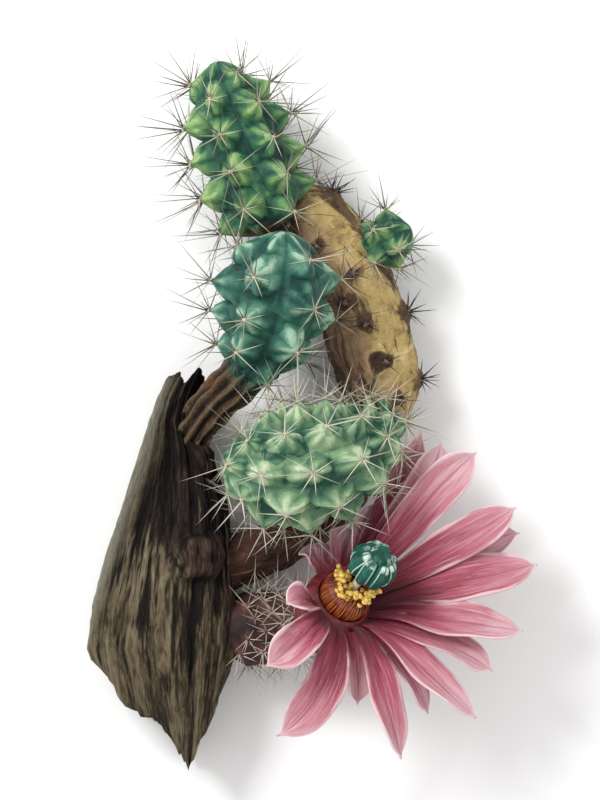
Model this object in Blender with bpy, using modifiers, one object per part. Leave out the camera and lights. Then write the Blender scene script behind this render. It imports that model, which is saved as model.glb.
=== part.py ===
"""A cut piece of a hedgehog cactus in flower that lies on a flat surface, in metres with +Z up.

Shapes are worked out in millimetres about a point near the middle of the piece, then moved so that
the origin is the middle of the bottom of the whole, and scaled to metres.
"""

import math
import random

import bmesh
import bpy
import numpy as np
from mathutils import Matrix, Vector
from mathutils.bvhtree import BVHTree

MM = 0.001
MIDDLE_X = 0.6
MIDDLE_Y = 3.4
GAP = 0.3
SEED = 12

# Trunk: the edges seen from above as y, left x, right x, underside z, top z
TRUNK_EDGES = (
    (9.0, -34.5, -25.5, 6.0, 14.0),
    (2.0, -37.5, -28.5, 3.5, 17.0),
    (-4.0, -39.5, -29.5, 2.0, 19.0),
    (-12.0, -42.3, -25.0, 0.0, 20.5),
    (-24.0, -46.5, -21.2, -0.5, 22.5),
    (-36.0, -50.4, -19.8, -0.8, 24.0),
    (-49.0, -53.6, -18.8, -0.8, 25.0),
    (-61.0, -55.2, -18.8, -0.8, 25.0),
    (-74.0, -51.5, -21.0, -0.5, 24.0),
    (-90.0, -44.0, -24.5, 1.5, 19.0),
)
# How far the broken ends reach, as sideways share from left to right and y
TRUNK_TOP = ((-1.0, 6.5), (-0.5, 8.0), (0.0, 5.5), (0.4, 9.8), (1.0, 6.0))
TRUNK_END = (
    (-1.0, -62.0), (-0.6, -74.0), (-0.2, -79.0), (0.1, -84.5), (0.35, -89.5), (0.7, -81.0), (1.0, -64.0),
)
TRUNK_FURROW = 1.5
TRUNK_HOLLOW = 3.0
TRUNK_COLUMNS = 30
TRUNK_RINGS = 22
# Each knob by its middle, how far it reaches and how high it stands
TRUNK_KNOBS = (
    (-26.5, -38.0, 21.5, 6.6, 4.4), (-27.0, -13.0, 17.0, 5.0, 2.6), (-45.0, -58.0, 17.0, 4.0, 1.6),
)

# Stems: centrelines as x, y, z and radius
NECK_PATH = (
    (-33.0, -12.0, 13.5, 4.6),
    (-26.0, -2.0, 17.0, 4.7),
    (-18.5, 5.5, 21.0, 5.3),
    (-12.5, 11.5, 25.0, 5.8),
)
NECK_COLUMNS = 20
NECK_RINGS = 16
NECK_RIB = 0.75
NECK_NOTCH = 0.35
ARCH_PATH = (
    (-29.0, -41.5, 12.0, 7.2),
    (-15.0, -38.0, 9.5, 6.4),
    (-2.5, -32.0, 7.8, 5.9),
    (6.5, -23.5, 7.4, 6.0),
    (12.5, -12.5, 7.8, 6.8),
    (16.0, -2.5, 9.0, 8.6),
    (17.2, 5.5, 9.9, 10.0),
    (15.2, 14.0, 10.2, 10.6),
    (12.0, 26.2, 10.1, 10.6),
    (7.0, 36.8, 9.9, 10.5),
    (-0.2, 44.6, 9.8, 10.2),
    (-8.6, 47.4, 12.6, 9.2),
    (-13.5, 48.0, 15.0, 8.0),
)
ARCH_AREOLES = (
    (10.8, 32.2), (14.0, 19.8), (18.5, 11.0), (23.5, 23.2), (27.2, 6.3), (5.0, 53.0), (2.2, 39.5),
    (-9.5, 46.0), (18.0, 36.5), (9.0, 25.5), (21.5, 2.0),
)
ARCH_COLUMNS = 18
ARCH_RINGS = 40
ARCH_SWELL = 0.35
ARCH_PAD = 1.5
ARCH_PAD_REACH = 3.6
ARCH_SCAR = (17.0, 10.7, 20.0)
ARCH_SCAR_RADIUS = 3.0

UPPER_PATH = (
    (-9.5, 43.0, 15.5, 8.5),
    (-12.5, 51.5, 16.8, 11.6),
    (-15.5, 60.5, 17.5, 11.8),
    (-18.8, 70.5, 17.8, 10.8),
    (-21.8, 79.0, 17.8, 9.4),
    (-23.4, 85.8, 17.6, 6.6),
)
MIDDLE_PATH = (
    (-16.5, 7.0, 22.0, 5.8),
    (-13.0, 13.5, 25.5, 9.5),
    (-10.0, 21.5, 28.5, 12.6),
    (-8.2, 30.0, 31.0, 13.2),
    (-7.0, 37.5, 32.5, 11.5),
    (-6.2, 43.0, 33.2, 8.4),
)
LOWER_PATH = (
    (17.0, -1.5, 12.0, 6.0),
    (15.3, -6.5, 19.0, 8.0),
    (10.8, -11.0, 26.8, 10.8),
    (4.0, -13.8, 32.6, 13.8),
    (-5.0, -15.4, 35.2, 14.3),
    (-14.5, -15.0, 34.6, 12.2),
    (-21.8, -13.4, 32.6, 8.4),
)
SIDE_PATH = (
    (12.5, 37.5, 12.5, 5.0),
    (18.0, 40.5, 14.0, 6.2),
    (22.3, 42.6, 15.2, 5.8),
    (25.3, 44.0, 16.0, 3.9),
)
TUBE_PATH = (
    (-23.0, -55.0, 11.5, 6.2),
    (-14.5, -56.0, 11.5, 9.0),
    (-7.0, -55.5, 13.5, 8.7),
    (-0.2, -54.0, 17.6, 7.8),
    (3.9, -52.8, 22.4, 8.4),
    (5.9, -50.6, 25.5, 8.9),
)

TUBE_COLUMNS = 15
TUBE_RINGS = 12
TUBE_SCALE = 0.55
TUBE_AREOLES = 20
TUBE_FIRST_AREOLE = 0.24
TUBE_AREOLE_STEP = 0.03

# Shoots: ribs, areoles along each, height of the swellings as a share of the radius, turn of the first rib
UPPER_FORM = (7, 5, 0.42, 0.35)
MIDDLE_FORM = (6, 4, 0.38, 0.15)
LOWER_FORM = (10, 7, 0.32, 0.2)
SIDE_FORM = (6, 2, 0.36, 0.0)
SWELLING_POWER = 1.35
SWELLING_LENGTH = 0.75
COLUMNS_PER_RIB = 4
LOWER_COLUMNS_PER_RIB = 3
RINGS_PER_ROW = 4
LAST_AREOLE = 0.97

# Spines: how many on each areole in turn, their length, and how far they open from its axis in degrees
UPPER_SPINES = ((3, 2), 12.0, (45.0, 75.0))
MIDDLE_SPINES = ((3, 2), 11.0, (45.0, 75.0))
LOWER_SPINES = ((2, 1), 10.5, (40.0, 70.0))
SIDE_SPINES = ((2,), 9.5, (35.0, 65.0))
ARCH_SPINES = ((2, 1), 6.0, (35.0, 65.0))
TUBE_SPINES = ((2, 1), 9.0, (20.0, 55.0))
CENTRAL_OPENING = (4.0, 22.0)
SPINE_RADIUS = 0.34
SPINE_SIDES = 3
SPINE_ROOT = 1.0
SPINE_SPACING = 0.85
# What is tried when a spine would meet something: its share of the length, and of the opening
SPINE_TRIES = ((1.0, 1.0), (1.0, 0.6), (0.85, 1.0), (0.8, 0.4), (0.65, 0.8), (0.5, 0.5))

# Flower: the middle of the throat, the way it faces, and each tepal by its tip, width and bends
THROAT = Vector((7.5, -48.75, 28.0))
FACING = Vector((0.46, 0.54, 0.71)).normalized()
RING_RADIUS = 7.2
TEPAL_THICK = 0.75
TEPAL_ACROSS = 3
TEPAL_ROWS = (0.0, 0.2, 0.42, 0.64, 0.82, 0.94, 1.0)
TEPAL_ROOT_WIDTH = 0.28
TEPAL_TIP_WIDTH = 0.07
TEPAL_WIDEST = 0.72
TEPAL_WAVE = 0.22
TEPALS = (
    # tip right, up and toward the viewer from the throat, width, fold of the edges, curl of the tip,
    # sideways swing, layer
    (26.5, 41.0, -10.5, 9.0, 0.28, -3.0, 4.0, 0),
    (20.0, 41.5, -15.5, 7.0, 0.25, 1.0, 1.0, 1),
    (33.5, 36.5, -4.0, 10.5, 0.22, 1.0, -2.0, 1),
    (43.0, 22.5, -5.0, 10.0, 0.22, 1.5, 2.0, 0),
    (44.5, 16.5, -10.0, 10.0, 0.20, 0.5, -2.0, 1),
    (48.0, 8.0, -3.0, 12.0, 0.18, 2.0, 1.5, 0),
    (31.0, -1.0, -7.0, 8.5, 0.20, -1.0, 0.0, 1),
    (44.5, -8.0, 2.5, 10.5, 0.20, 1.5, 2.5, 0),
    (38.5, -16.0, 4.0, 9.5, 0.24, -2.0, 1.0, 1),
    (33.0, -29.0, 8.0, 9.0, 0.25, 1.0, 3.0, 0),
    (16.0, -37.0, 14.0, 9.0, 0.25, -2.5, 2.0, 0),
    (24.0, -25.0, 5.0, 6.5, 0.30, -5.0, 2.0, 1),
    (6.0, -23.0, 9.0, 7.5, 0.25, -4.0, 1.0, 1),
    (-13.0, -29.5, 15.0, 10.5, 0.22, -6.0, -9.0, 0),
    (-16.0, -12.5, 24.0, 9.5, 0.34, -5.0, -2.0, 0),
    (-12.0, 1.5, 18.0, 7.5, 0.35, -3.0, 1.0, 1),
    (-8.0, 14.0, -7.0, 9.0, 0.15, 0.0, 0.0, 0),
    (1.0, 18.5, -11.0, 9.0, 0.15, 0.0, 0.0, 0),
    (10.5, 24.0, -12.5, 8.5, 0.15, 0.0, 0.0, 1),
)
# The packed mass of filaments, as pairs of radius and height, and the filaments that stand out of it
STAMEN_BARREL = ((0.0, 0.3), (5.0, 0.3), (6.4, 2.6), (6.4, 4.6), (5.2, 6.2), (3.0, 6.6), (0.0, 6.0))
STAMENS = 22
STAMEN_ROOT = 3.6
STAMEN_LENGTH = (4.6, 6.4)
STAMEN_SPREAD = ((1.9, -0.05), (3.1, 0.1), (4.3, 0.2))
GOLDEN_ANGLE = math.radians(137.5)
STYLE_RADIUS = 1.1
STIGMA_REACH = 17.5
STIGMA_CORE = 4.6
# Each ring of lobes: how many, distance from the axis, height of the middle, half length, lean inward
STIGMA_LOBES = ((8, 4.3, 0.4, 5.0, 0.16), (4, 1.8, 2.2, 4.6, 0.05))
STIGMA_LOBE_RADIUS = 1.9

COLOURS = {
    "trunk_bark": ((0.10, 0.075, 0.055), 0.9),
    "neck_bark": ((0.13, 0.085, 0.05), 0.85),
    "corky_stem": ((0.32, 0.22, 0.09), 0.8),
    "green_flesh": ((0.13, 0.24, 0.09), 0.6),
    "blue_flesh": ((0.03, 0.15, 0.11), 0.6),
    "pale_flesh": ((0.10, 0.22, 0.13), 0.6),
    "tube_skin": ((0.06, 0.028, 0.022), 0.8),
    "tepal": ((0.55, 0.20, 0.27), 0.55),
    "stamen": ((0.45, 0.22, 0.06), 0.6),
    "style_skin": ((0.55, 0.50, 0.38), 0.5),
    "stigma_skin": ((0.008, 0.10, 0.07), 0.45),
}


def clear_scene():
    for obj in list(bpy.data.objects):
        bpy.data.objects.remove(obj, do_unlink=True)


def new_collection(name, hidden=False):
    made = bpy.data.collections.new(name)
    made.hide_render = hidden
    bpy.context.scene.collection.children.link(made)
    return made


def material(name):
    colour, roughness = COLOURS[name]
    made = bpy.data.materials.new(name)
    made.use_nodes = True
    shader = made.node_tree.nodes["Principled BSDF"]
    shader.inputs["Base Color"].default_value = (*colour, 1.0)
    shader.inputs["Roughness"].default_value = roughness
    made.diffuse_color = (*colour, 1.0)
    return made


def object_of(mesh_builder, name, collection, point_out=True):
    """A mesh object in the collection, from a bmesh whose faces are set to point out if asked."""
    if point_out:
        bmesh.ops.recalc_face_normals(mesh_builder, faces=mesh_builder.faces)
    mesh = bpy.data.meshes.new(name)
    mesh_builder.to_mesh(mesh)
    mesh_builder.free()
    obj = bpy.data.objects.new(name, mesh)
    collection.objects.link(obj)
    return obj


def bake(obj):
    """Replaces the object's mesh by the one that its modifiers make."""
    bpy.context.view_layer.update()
    graph = bpy.context.evaluated_depsgraph_get()
    mesh = bpy.data.meshes.new_from_object(obj.evaluated_get(graph))
    obj.modifiers.clear()
    old = obj.data
    obj.data = mesh
    bpy.data.meshes.remove(old)


def keep_largest(obj):
    """Drops the loose scraps that a cut leaves."""
    builder = bmesh.new()
    builder.from_mesh(obj.data)
    seen = set()
    groups = []
    for start in builder.faces:
        if start in seen:
            continue
        seen.add(start)
        group = [start]
        for face in group:
            for other in [near for edge in face.edges for near in edge.link_faces]:
                if other not in seen:
                    seen.add(other)
                    group.append(other)
        groups.append(group)
    groups.sort(key=len)
    for group in groups[:-1]:
        bmesh.ops.delete(builder, geom=group, context="FACES")
    builder.to_mesh(obj.data)
    builder.free()


def swollen(obj, collection):
    """A copy of the object grown by the gap between neighbours, to cut with."""
    builder = bmesh.new()
    builder.from_mesh(obj.data)
    builder.normal_update()
    moves = [vert.normal * GAP * MM for vert in builder.verts]
    for vert, move in zip(builder.verts, moves):
        vert.co += move
    return object_of(builder, obj.name + "_cutter", collection, point_out=False)


def cut(obj, neighbour, cutters):
    cutter = swollen(neighbour, cutters)
    modifier = obj.modifiers.new("clear " + neighbour.name, "BOOLEAN")
    modifier.operation = "DIFFERENCE"
    modifier.solver = "EXACT"
    modifier.object = cutter
    bake(obj)
    bpy.data.objects.remove(cutter, do_unlink=True)
    keep_largest(obj)


def fuse(obj, pieces):
    """Joins every object of the collection into the object, then removes them."""
    modifier = obj.modifiers.new("fuse", "BOOLEAN")
    modifier.operation = "UNION"
    modifier.solver = "EXACT"
    modifier.operand_type = "COLLECTION"
    modifier.collection = pieces
    bake(obj)
    for piece in list(pieces.objects):
        bpy.data.objects.remove(piece, do_unlink=True)
    keep_largest(obj)


class Centreline:
    """A smooth line through points of x, y, z and radius, read by the share of its length."""

    STEPS = 12

    def __init__(self, points):
        rows = np.array(points, float)
        padded = np.vstack([2 * rows[0] - rows[1], rows, 2 * rows[-1] - rows[-2]])
        samples = []
        for k in range(len(rows) - 1):
            a, b, c, d = padded[k : k + 4]
            for t in np.arange(self.STEPS) / self.STEPS:
                samples.append(
                    b + 0.5 * t * (c - a + t * (2 * a - 5 * b + 4 * c - d + t * (3 * b - 3 * c + d - a)))
                )
        samples.append(rows[-1])
        self.rows = np.array(samples)
        steps = np.linalg.norm(np.diff(self.rows[:, :3], axis=0), axis=1)
        self.length = steps.sum()
        self.share = np.concatenate([[0.0], np.cumsum(steps)]) / self.length

    def read(self, t):
        return np.array([np.interp(t, self.share, self.rows[:, k]) for k in range(4)])

    def frame(self, t):
        """The point, the tangent, the sideways and the upward direction, and the radius."""
        row = self.read(t)
        step = self.read(min(t + 0.02, 1.0)) - self.read(max(t - 0.02, 0.0))
        tangent = Vector(step[:3]).normalized()
        side = Vector((0.0, 0.0, 1.0)).cross(tangent).normalized()
        return Vector(row[:3]), tangent, side, tangent.cross(side), row[3]


def wrapped(name, columns, rings, place, collection):
    """A closed skin: a sphere whose points are moved to place(angle, share from end to end)."""
    builder = bmesh.new()
    bmesh.ops.create_uvsphere(builder, u_segments=columns, v_segments=rings, radius=1.0)
    for vert in builder.verts:
        angle = math.atan2(vert.co.y, vert.co.x) % math.tau
        share = math.acos(max(-1.0, min(1.0, -vert.co.z))) / math.pi
        vert.co = place(angle, share) * MM
    bmesh.ops.triangulate(builder, faces=builder.faces)
    return object_of(builder, name, collection)


def rounded(t, start, end):
    """1 along the middle, falling to 0 at both ends as a round end does."""
    near = min(1.0, t / start) if start else 1.0
    far = min(1.0, (1.0 - t) / end)
    return math.sqrt(max(0.0, 1.0 - (1.0 - near) ** 2)) * math.sqrt(max(0.0, 1.0 - (1.0 - far) ** 2))


class Shoot:
    """A ribbed shoot whose ribs are rows of swellings, each with an areole on its peak."""

    def __init__(self, points, form):
        self.line = Centreline(points)
        self.ribs, self.rows, self.height, self.turn = form

    def rib_offset(self, rib):
        return 0.5 * (rib % 2)

    def swelling(self, angle, t):
        rib_angle = math.tau / self.ribs
        place = (angle - self.turn) / rib_angle
        rib = round(place)
        across = 2.0 * (place - rib)
        along = t * self.rows - self.rib_offset(rib % self.ribs)
        along = 2.0 * (along - 0.5 - round(along - 0.5))
        away = abs(across) ** SWELLING_POWER + abs(SWELLING_LENGTH * along) ** SWELLING_POWER
        return max(0.0, 1.0 - away ** (1.0 / SWELLING_POWER))

    def point(self, angle, t, lift=0.0):
        centre, _, side, up, radius = self.line.frame(t)
        close = rounded(t, 0.12, 0.30)
        rise = 1.0 + self.height * (self.swelling(angle, t) - 0.4) * min(1.0, 0.35 + close)
        reach = radius * close * rise + lift
        return centre + (side * math.cos(angle) + up * math.sin(angle)) * reach

    def areoles(self):
        """Each areole as its point on the skin and the way that it faces."""
        found = []
        for rib in range(self.ribs):
            angle = self.turn + rib * math.tau / self.ribs
            for row in range(self.rows):
                t = (row + 0.5 + self.rib_offset(rib)) / self.rows
                if t > LAST_AREOLE:
                    continue
                point = self.point(angle, t)
                ahead = self.line.frame(t)[1]
                out = (self.point(angle, t, 1.0) - point).normalized()
                found.append((point, (out + ahead * (0.25 + 0.9 * t**4)).normalized()))
        return found


def build_shoot(name, shoot, columns_per_rib, collection):
    return wrapped(name, shoot.ribs * columns_per_rib, shoot.rows * RINGS_PER_ROW, shoot.point, collection)


def build_trunk(collection, rng):
    """The old woody base, with furrows along it, knobs and two broken ends."""
    columns, rings = TRUNK_COLUMNS, TRUNK_RINGS
    edges = np.array(TRUNK_EDGES)[::-1]
    depth = [rng.uniform(0.35, 1.0) * (1 if k % 2 else -1) for k in range(columns)]
    sway = [rng.uniform(0.0, math.tau) for _ in range(columns)]

    def place(angle, share):
        ring = round(share * rings)
        column = round(angle / math.tau * columns) % columns
        close = (0.0, 0.62, 1.0)[min(ring, rings - ring, 2)]
        sideways = math.cos(angle)
        top = np.interp(sideways * close, *np.array(TRUNK_TOP).T)
        end = np.interp(sideways * close, *np.array(TRUNK_END).T)
        t = min(1.0, max(0.0, (ring - 2) / (rings - 4)))
        y = end + (top - end) * t
        hollow = TRUNK_HOLLOW * (1.0 - close)
        y += hollow if ring < 3 else (-hollow if ring > rings - 3 else 0.0)
        left, right, low, high = [np.interp(y, edges[:, 0], edges[:, k]) for k in range(1, 5)]
        furrow = TRUNK_FURROW * depth[column] * (0.6 + 0.4 * math.sin(sway[column] + 9.0 * t)) * close
        wide = (right - left) / 2 + 0.5 * furrow
        tall = (high - low) / 2 + furrow
        lift = math.copysign(abs(math.sin(angle)) ** 0.8, math.sin(angle))
        x = (left + right) / 2 + wide * close * math.copysign(abs(sideways) ** 0.85, sideways)
        z = (low + high) / 2 + tall * close * lift
        if close == 1.0:
            for knob_x, knob_y, knob_z, reach, height in TRUNK_KNOBS:
                away = math.dist((x, y, z), (knob_x, knob_y, knob_z)) / reach
                push = height * max(0.0, 1.0 - away * away)
                x += push * 0.5
                z += push * 0.85
        return Vector((x, y, max(0.0, z)))

    return wrapped("trunk", columns, rings, place, collection)


def build_neck(collection, rng):
    """The woody neck, with ribs along it and notches where old areoles were."""
    line = Centreline(NECK_PATH)
    notch = [rng.uniform(0.0, math.tau) for _ in range(NECK_COLUMNS)]

    def place(angle, share):
        centre, _, side, up, radius = line.frame(share)
        column = round(angle / math.tau * NECK_COLUMNS) % NECK_COLUMNS
        rib = NECK_RIB if column % 2 else -NECK_RIB
        ripple = NECK_NOTCH * math.sin(notch[column] + 24.0 * share)
        reach = (radius + rib + ripple) * rounded(share, 0.08, 0.10)
        return centre + (side * math.cos(angle) + up * math.sin(angle)) * reach

    return wrapped("neck_stem", NECK_COLUMNS, NECK_RINGS, place, collection)


def arch_areoles(line):
    """The thorn areoles of the arching stem: on its visible side, and turned half round below it."""
    found = []
    shares = np.linspace(0.3, 0.99, 120)
    frames = [line.frame(t) for t in shares]
    for x, y in ARCH_AREOLES:
        centre, _, side, up, radius = min(frames, key=lambda f: math.dist(f[0][:2], (x, y)))
        across = max(-0.95, min(0.95, (Vector((x, y, 0.0)) - Vector((*centre[:2], 0.0))).dot(side) / radius))
        angle = math.acos(across)
        for turned in (angle, -angle):
            out = side * math.cos(turned) + up * math.sin(turned)
            point = centre + out * radius
            if point.z > 2.5:
                found.append((point, out))
    return found


def build_arch(collection, rng):
    """The long corky stem, low and thin behind the lower shoot and thick where it arches over."""
    line = Centreline(ARCH_PATH)
    swell = [rng.uniform(-ARCH_SWELL, ARCH_SWELL) for _ in range(ARCH_COLUMNS)]
    areoles = arch_areoles(line)
    scar = Vector(ARCH_SCAR)

    def place(angle, share):
        centre, _, side, up, radius = line.frame(share)
        column = round(angle / math.tau * ARCH_COLUMNS) % ARCH_COLUMNS
        reach = radius + swell[column] * math.sin(21.0 * share + column)
        reach *= rounded(share, 0.04, 0.06)
        point = centre + (side * math.cos(angle) + up * math.sin(angle)) * reach
        push = sum(ARCH_PAD * max(0.0, 1.0 - (point - spot).length / ARCH_PAD_REACH) for spot, _ in areoles)
        away = (point - scar).length / ARCH_SCAR_RADIUS
        push += 0.9 * math.exp(-((away - 1.0) ** 2) / 0.2) - 0.5 * math.exp(-(away**2) / 0.2)
        point += (side * math.cos(angle) + up * math.sin(angle)) * push
        point.z = max(0.0, point.z)
        return point

    return wrapped("arched_stem", ARCH_COLUMNS, ARCH_RINGS, place, collection), areoles


def build_tube(collection):
    """The ovary and tube of the flower, with a low swelling under each areole."""
    line = Centreline(TUBE_PATH)

    def scales(angle, t):
        return TUBE_SCALE * max(0.0, math.sin(5.0 * angle)) * max(0.0, math.sin(26.0 * t))

    def place(angle, share):
        centre, _, side, up, radius = line.frame(share)
        reach = (radius + scales(angle, share)) * rounded(share, 0.10, 0.05)
        return centre + (side * math.cos(angle) + up * math.sin(angle)) * reach

    tube = wrapped("flower_tube", TUBE_COLUMNS, TUBE_RINGS, place, collection)
    areoles = []
    for k in range(TUBE_AREOLES):
        angle = k * GOLDEN_ANGLE
        t = TUBE_FIRST_AREOLE + TUBE_AREOLE_STEP * k
        centre, ahead, side, up, radius = line.frame(t)
        out = side * math.cos(angle) + up * math.sin(angle)
        areoles.append((centre + out * radius, (out + 0.3 * ahead).normalized()))
    return tube, areoles


def flower_axes():
    """Two directions across the flower's face: one toward the picture's top right, one at right angles."""
    down = Vector((0.46, 0.54, -0.71))
    first = (down - FACING * down.dot(FACING)).normalized()
    return first, FACING.cross(first)


def tepal_points(tip, width, fold, curl, swing, layer):
    """Rows of points over one tepal from root to tip, each row from edge to edge."""
    first, second = flower_axes()
    reach = Vector(tip)
    outward = reach - FACING * reach.dot(FACING)
    bearing = math.atan2(outward.dot(second), outward.dot(first))
    spoke = first * math.cos(bearing) + second * math.sin(bearing)
    root = THROAT + spoke * RING_RADIUS + FACING * (-0.6 - 0.9 * layer)
    end = THROAT + reach
    span = (end - root).length
    rise = min(0.65, max(0.05, 0.65 + 0.045 * tip[2]))
    lead = root + (FACING * rise + spoke * 0.45) * span * 0.32
    back = end - (reach.normalized() * 0.85 - FACING * 0.25 + spoke * 0.1) * span * 0.3
    back += reach.cross(FACING).normalized() * swing
    end = end + FACING * curl
    rows = []
    for t in TEPAL_ROWS:
        s = 1.0 - t
        centre = root * s**3 + lead * 3 * s * s * t + back * 3 * s * t * t + end * t**3
        slope = (lead - root) * 3 * s * s + (back - lead) * 6 * s * t + (end - back) * 3 * t * t
        wide = slope.cross(FACING).normalized()
        face = wide.cross(slope).normalized()
        grow = math.sin(min(1.0, t / TEPAL_WIDEST) * math.pi / 2) ** 1.3
        grow = TEPAL_ROOT_WIDTH + (1.0 - TEPAL_ROOT_WIDTH) * grow
        shrink = 1.0 - max(0.0, (t - TEPAL_WIDEST) / (1.0 - TEPAL_WIDEST)) ** 2.6
        half = width / 2 * grow * max(TEPAL_TIP_WIDTH, shrink)
        row = []
        for sideways in np.linspace(-1.0, 1.0, TEPAL_ACROSS + 1):
            wave = TEPAL_WAVE * math.sin(9.0 * t + 2.0 * layer) * sideways
            lift = half * (fold * sideways * sideways + wave)
            row.append(centre + wide * half * sideways + face * lift)
        rows.append(row)
    return rows


def sheet(name, rows, thick, collection):
    """A closed blade of even thickness about a grid of points, both faces triangulated alike."""
    along = len(rows) - 1
    across = len(rows[0]) - 1
    builder = bmesh.new()
    bmesh.ops.create_grid(builder, x_segments=across, y_segments=along, size=1.0)
    for vert in builder.verts:
        j = round((vert.co.x + 1.0) / 2.0 * across)
        i = round((vert.co.y + 1.0) / 2.0 * along)
        vert.co = rows[i][j] * MM
    bmesh.ops.triangulate(builder, faces=builder.faces)
    obj = object_of(builder, name, collection)
    solid = obj.modifiers.new("thickness", "SOLIDIFY")
    solid.thickness = thick * MM
    solid.offset = 0.0
    bake(obj)
    return obj


def turned(name, profile, steps, collection, centre, axis):
    """A body turned from radius and height pairs about an axis through the centre."""
    builder = bmesh.new()
    verts = [builder.verts.new((radius * MM, 0.0, height * MM)) for radius, height in profile]
    edges = [builder.edges.new(pair) for pair in zip(verts, verts[1:])]
    closed = profile[0][0] > 0.0
    if closed:
        edges.append(builder.edges.new((verts[-1], verts[0])))
    bmesh.ops.spin(
        builder, geom=verts + edges, cent=(0, 0, 0), axis=(0, 0, 1), angle=math.tau, steps=steps,
        use_merge=True, use_duplicate=False,
    )
    bmesh.ops.remove_doubles(builder, verts=builder.verts, dist=1e-6)
    turn = Vector((0, 0, 1)).rotation_difference(axis).to_matrix().to_4x4()
    bmesh.ops.transform(builder, matrix=Matrix.Translation(centre * MM) @ turn, verts=builder.verts)
    bmesh.ops.triangulate(builder, faces=builder.faces)
    return object_of(builder, name, collection)


def build_tepals(collection, pieces):
    inner, outer = RING_RADIUS - 1.0, RING_RADIUS + 2.0
    ring = ((inner - 0.6, -0.6), (outer - 0.1, -2.6), (outer + 0.1, -0.4), (inner + 0.6, 1.4))
    tepals = turned("tepals", ring, 20, collection, THROAT, FACING)
    for k, (right, up, out, *rest) in enumerate(TEPALS):
        sheet(f"tepal_{k}", tepal_points((right, up, out), *rest), TEPAL_THICK, pieces)
    fuse(tepals, pieces)
    return tepals


def rod(name, root, end, thick, thin, sides, collection):
    """A straight tapering rod between two points."""
    length = (end - root).length
    builder = bmesh.new()
    bmesh.ops.create_cone(
        builder, cap_ends=True, cap_tris=False, segments=sides,
        radius1=thick * MM, radius2=thin * MM, depth=length * MM,
    )
    turn = Vector((0, 0, 1)).rotation_difference((end - root).normalized()).to_matrix().to_4x4()
    middle = Matrix.Translation((root + end) / 2 * MM)
    bmesh.ops.transform(builder, matrix=middle @ turn, verts=builder.verts)
    return object_of(builder, name, collection)


def ball(name, centre, radius, collection, sides=8, stretch=(1.0, 1.0, 1.0), axis=None):
    """A faceted ball, drawn out by the stretch with its third direction along the axis."""
    builder = bmesh.new()
    bmesh.ops.create_uvsphere(builder, u_segments=sides, v_segments=sides // 2, radius=radius * MM)
    bmesh.ops.scale(builder, vec=stretch, verts=builder.verts)
    turn = Matrix.Identity(4)
    if axis:
        turn = Vector((0, 0, 1)).rotation_difference(axis).to_matrix().to_4x4()
    bmesh.ops.transform(builder, matrix=Matrix.Translation(centre * MM) @ turn, verts=builder.verts)
    return object_of(builder, name, collection)


def build_stamens(collection, pieces, rng):
    """The barrel of packed filaments, with loose ones standing out of it, each with its anther."""
    stamens = turned("stamens", STAMEN_BARREL, 18, collection, THROAT, FACING)
    first, second = flower_axes()
    for k in range(STAMENS):
        bearing = k * GOLDEN_ANGLE
        spoke = first * math.cos(bearing) + second * math.sin(bearing)
        near, lean = STAMEN_SPREAD[k % len(STAMEN_SPREAD)]
        root = THROAT + spoke * near + FACING * STAMEN_ROOT
        way = (FACING + spoke * lean).normalized()
        end = root + way * rng.uniform(*STAMEN_LENGTH)
        rod(f"filament_{k}", root, end, 0.42, 0.34, 3, pieces)
        ball(f"anther_{k}", end, 0.85, pieces, sides=4, stretch=(0.8, 0.8, 1.25), axis=way)
    fuse(stamens, pieces)
    return stamens


def build_style(collection):
    root = THROAT + FACING * (STAMEN_ROOT - 1.0)
    end = THROAT + FACING * (STIGMA_REACH - STIGMA_CORE)
    return rod("style", root, end, STYLE_RADIUS, STYLE_RADIUS, 12, collection)


def build_stigma(collection, pieces):
    """The closed bud of lobes on the style, in an outer and an inner ring round a core."""
    first, second = flower_axes()
    centre = THROAT + FACING * STIGMA_REACH
    stigma = ball("stigma", centre, STIGMA_CORE, collection)
    for count, near, height, half_length, lean in STIGMA_LOBES:
        for k in range(count):
            bearing = k * math.tau / count
            spoke = first * math.cos(bearing) + second * math.sin(bearing)
            middle = centre + FACING * height + spoke * near
            axis = (FACING - spoke * lean).normalized()
            stretch = (1.0, 1.0, half_length / STIGMA_LOBE_RADIUS)
            ball(f"lobe_{k}", middle, STIGMA_LOBE_RADIUS, pieces, stretch=stretch, axis=axis)
    fuse(stigma, pieces)
    return stigma


class Clearance:
    """Tells whether a spine keeps clear of the floor, of other nodes and of their spines."""

    SAMPLES = np.linspace(0.0, 1.0, 10)
    NEAR = 0.75
    FLOOR = 0.9

    def __init__(self, bodies):
        self.trees = {}
        for obj in bodies:
            points = [vert.co / MM for vert in obj.data.vertices]
            faces = [tuple(face.vertices) for face in obj.data.polygons]
            self.trees[obj.name] = BVHTree.FromPolygons(points, faces)
        self.placed = []

    def free(self, node, root, end):
        if end.z < self.FLOOR:
            return False
        along = end - root
        for name, tree in self.trees.items():
            if name == node:
                continue
            if tree.ray_cast(root, along.normalized(), along.length + self.NEAR)[0]:
                return False
            for share in self.SAMPLES:
                place = root + along * share
                if tree.find_nearest(place, self.NEAR)[0]:
                    return False
        others = [(start, stop) for owner, start, stop in self.placed if owner != node]
        if not others:
            return True
        starts = np.array([start for start, _ in others])
        spans = np.array([stop for _, stop in others]) - starts
        squares = (spans * spans).sum(axis=1)
        for share in self.SAMPLES:
            place = np.array(root + along * share)
            near = np.clip(((place - starts) * spans).sum(axis=1) / squares, 0.0, 1.0)
            gaps = np.linalg.norm(starts + spans * near[:, None] - place, axis=1)
            if gaps.min() < self.NEAR:
                return False
        return True

    def add(self, node, root, end):
        self.placed.append((node, root.copy(), end.copy()))


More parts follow.
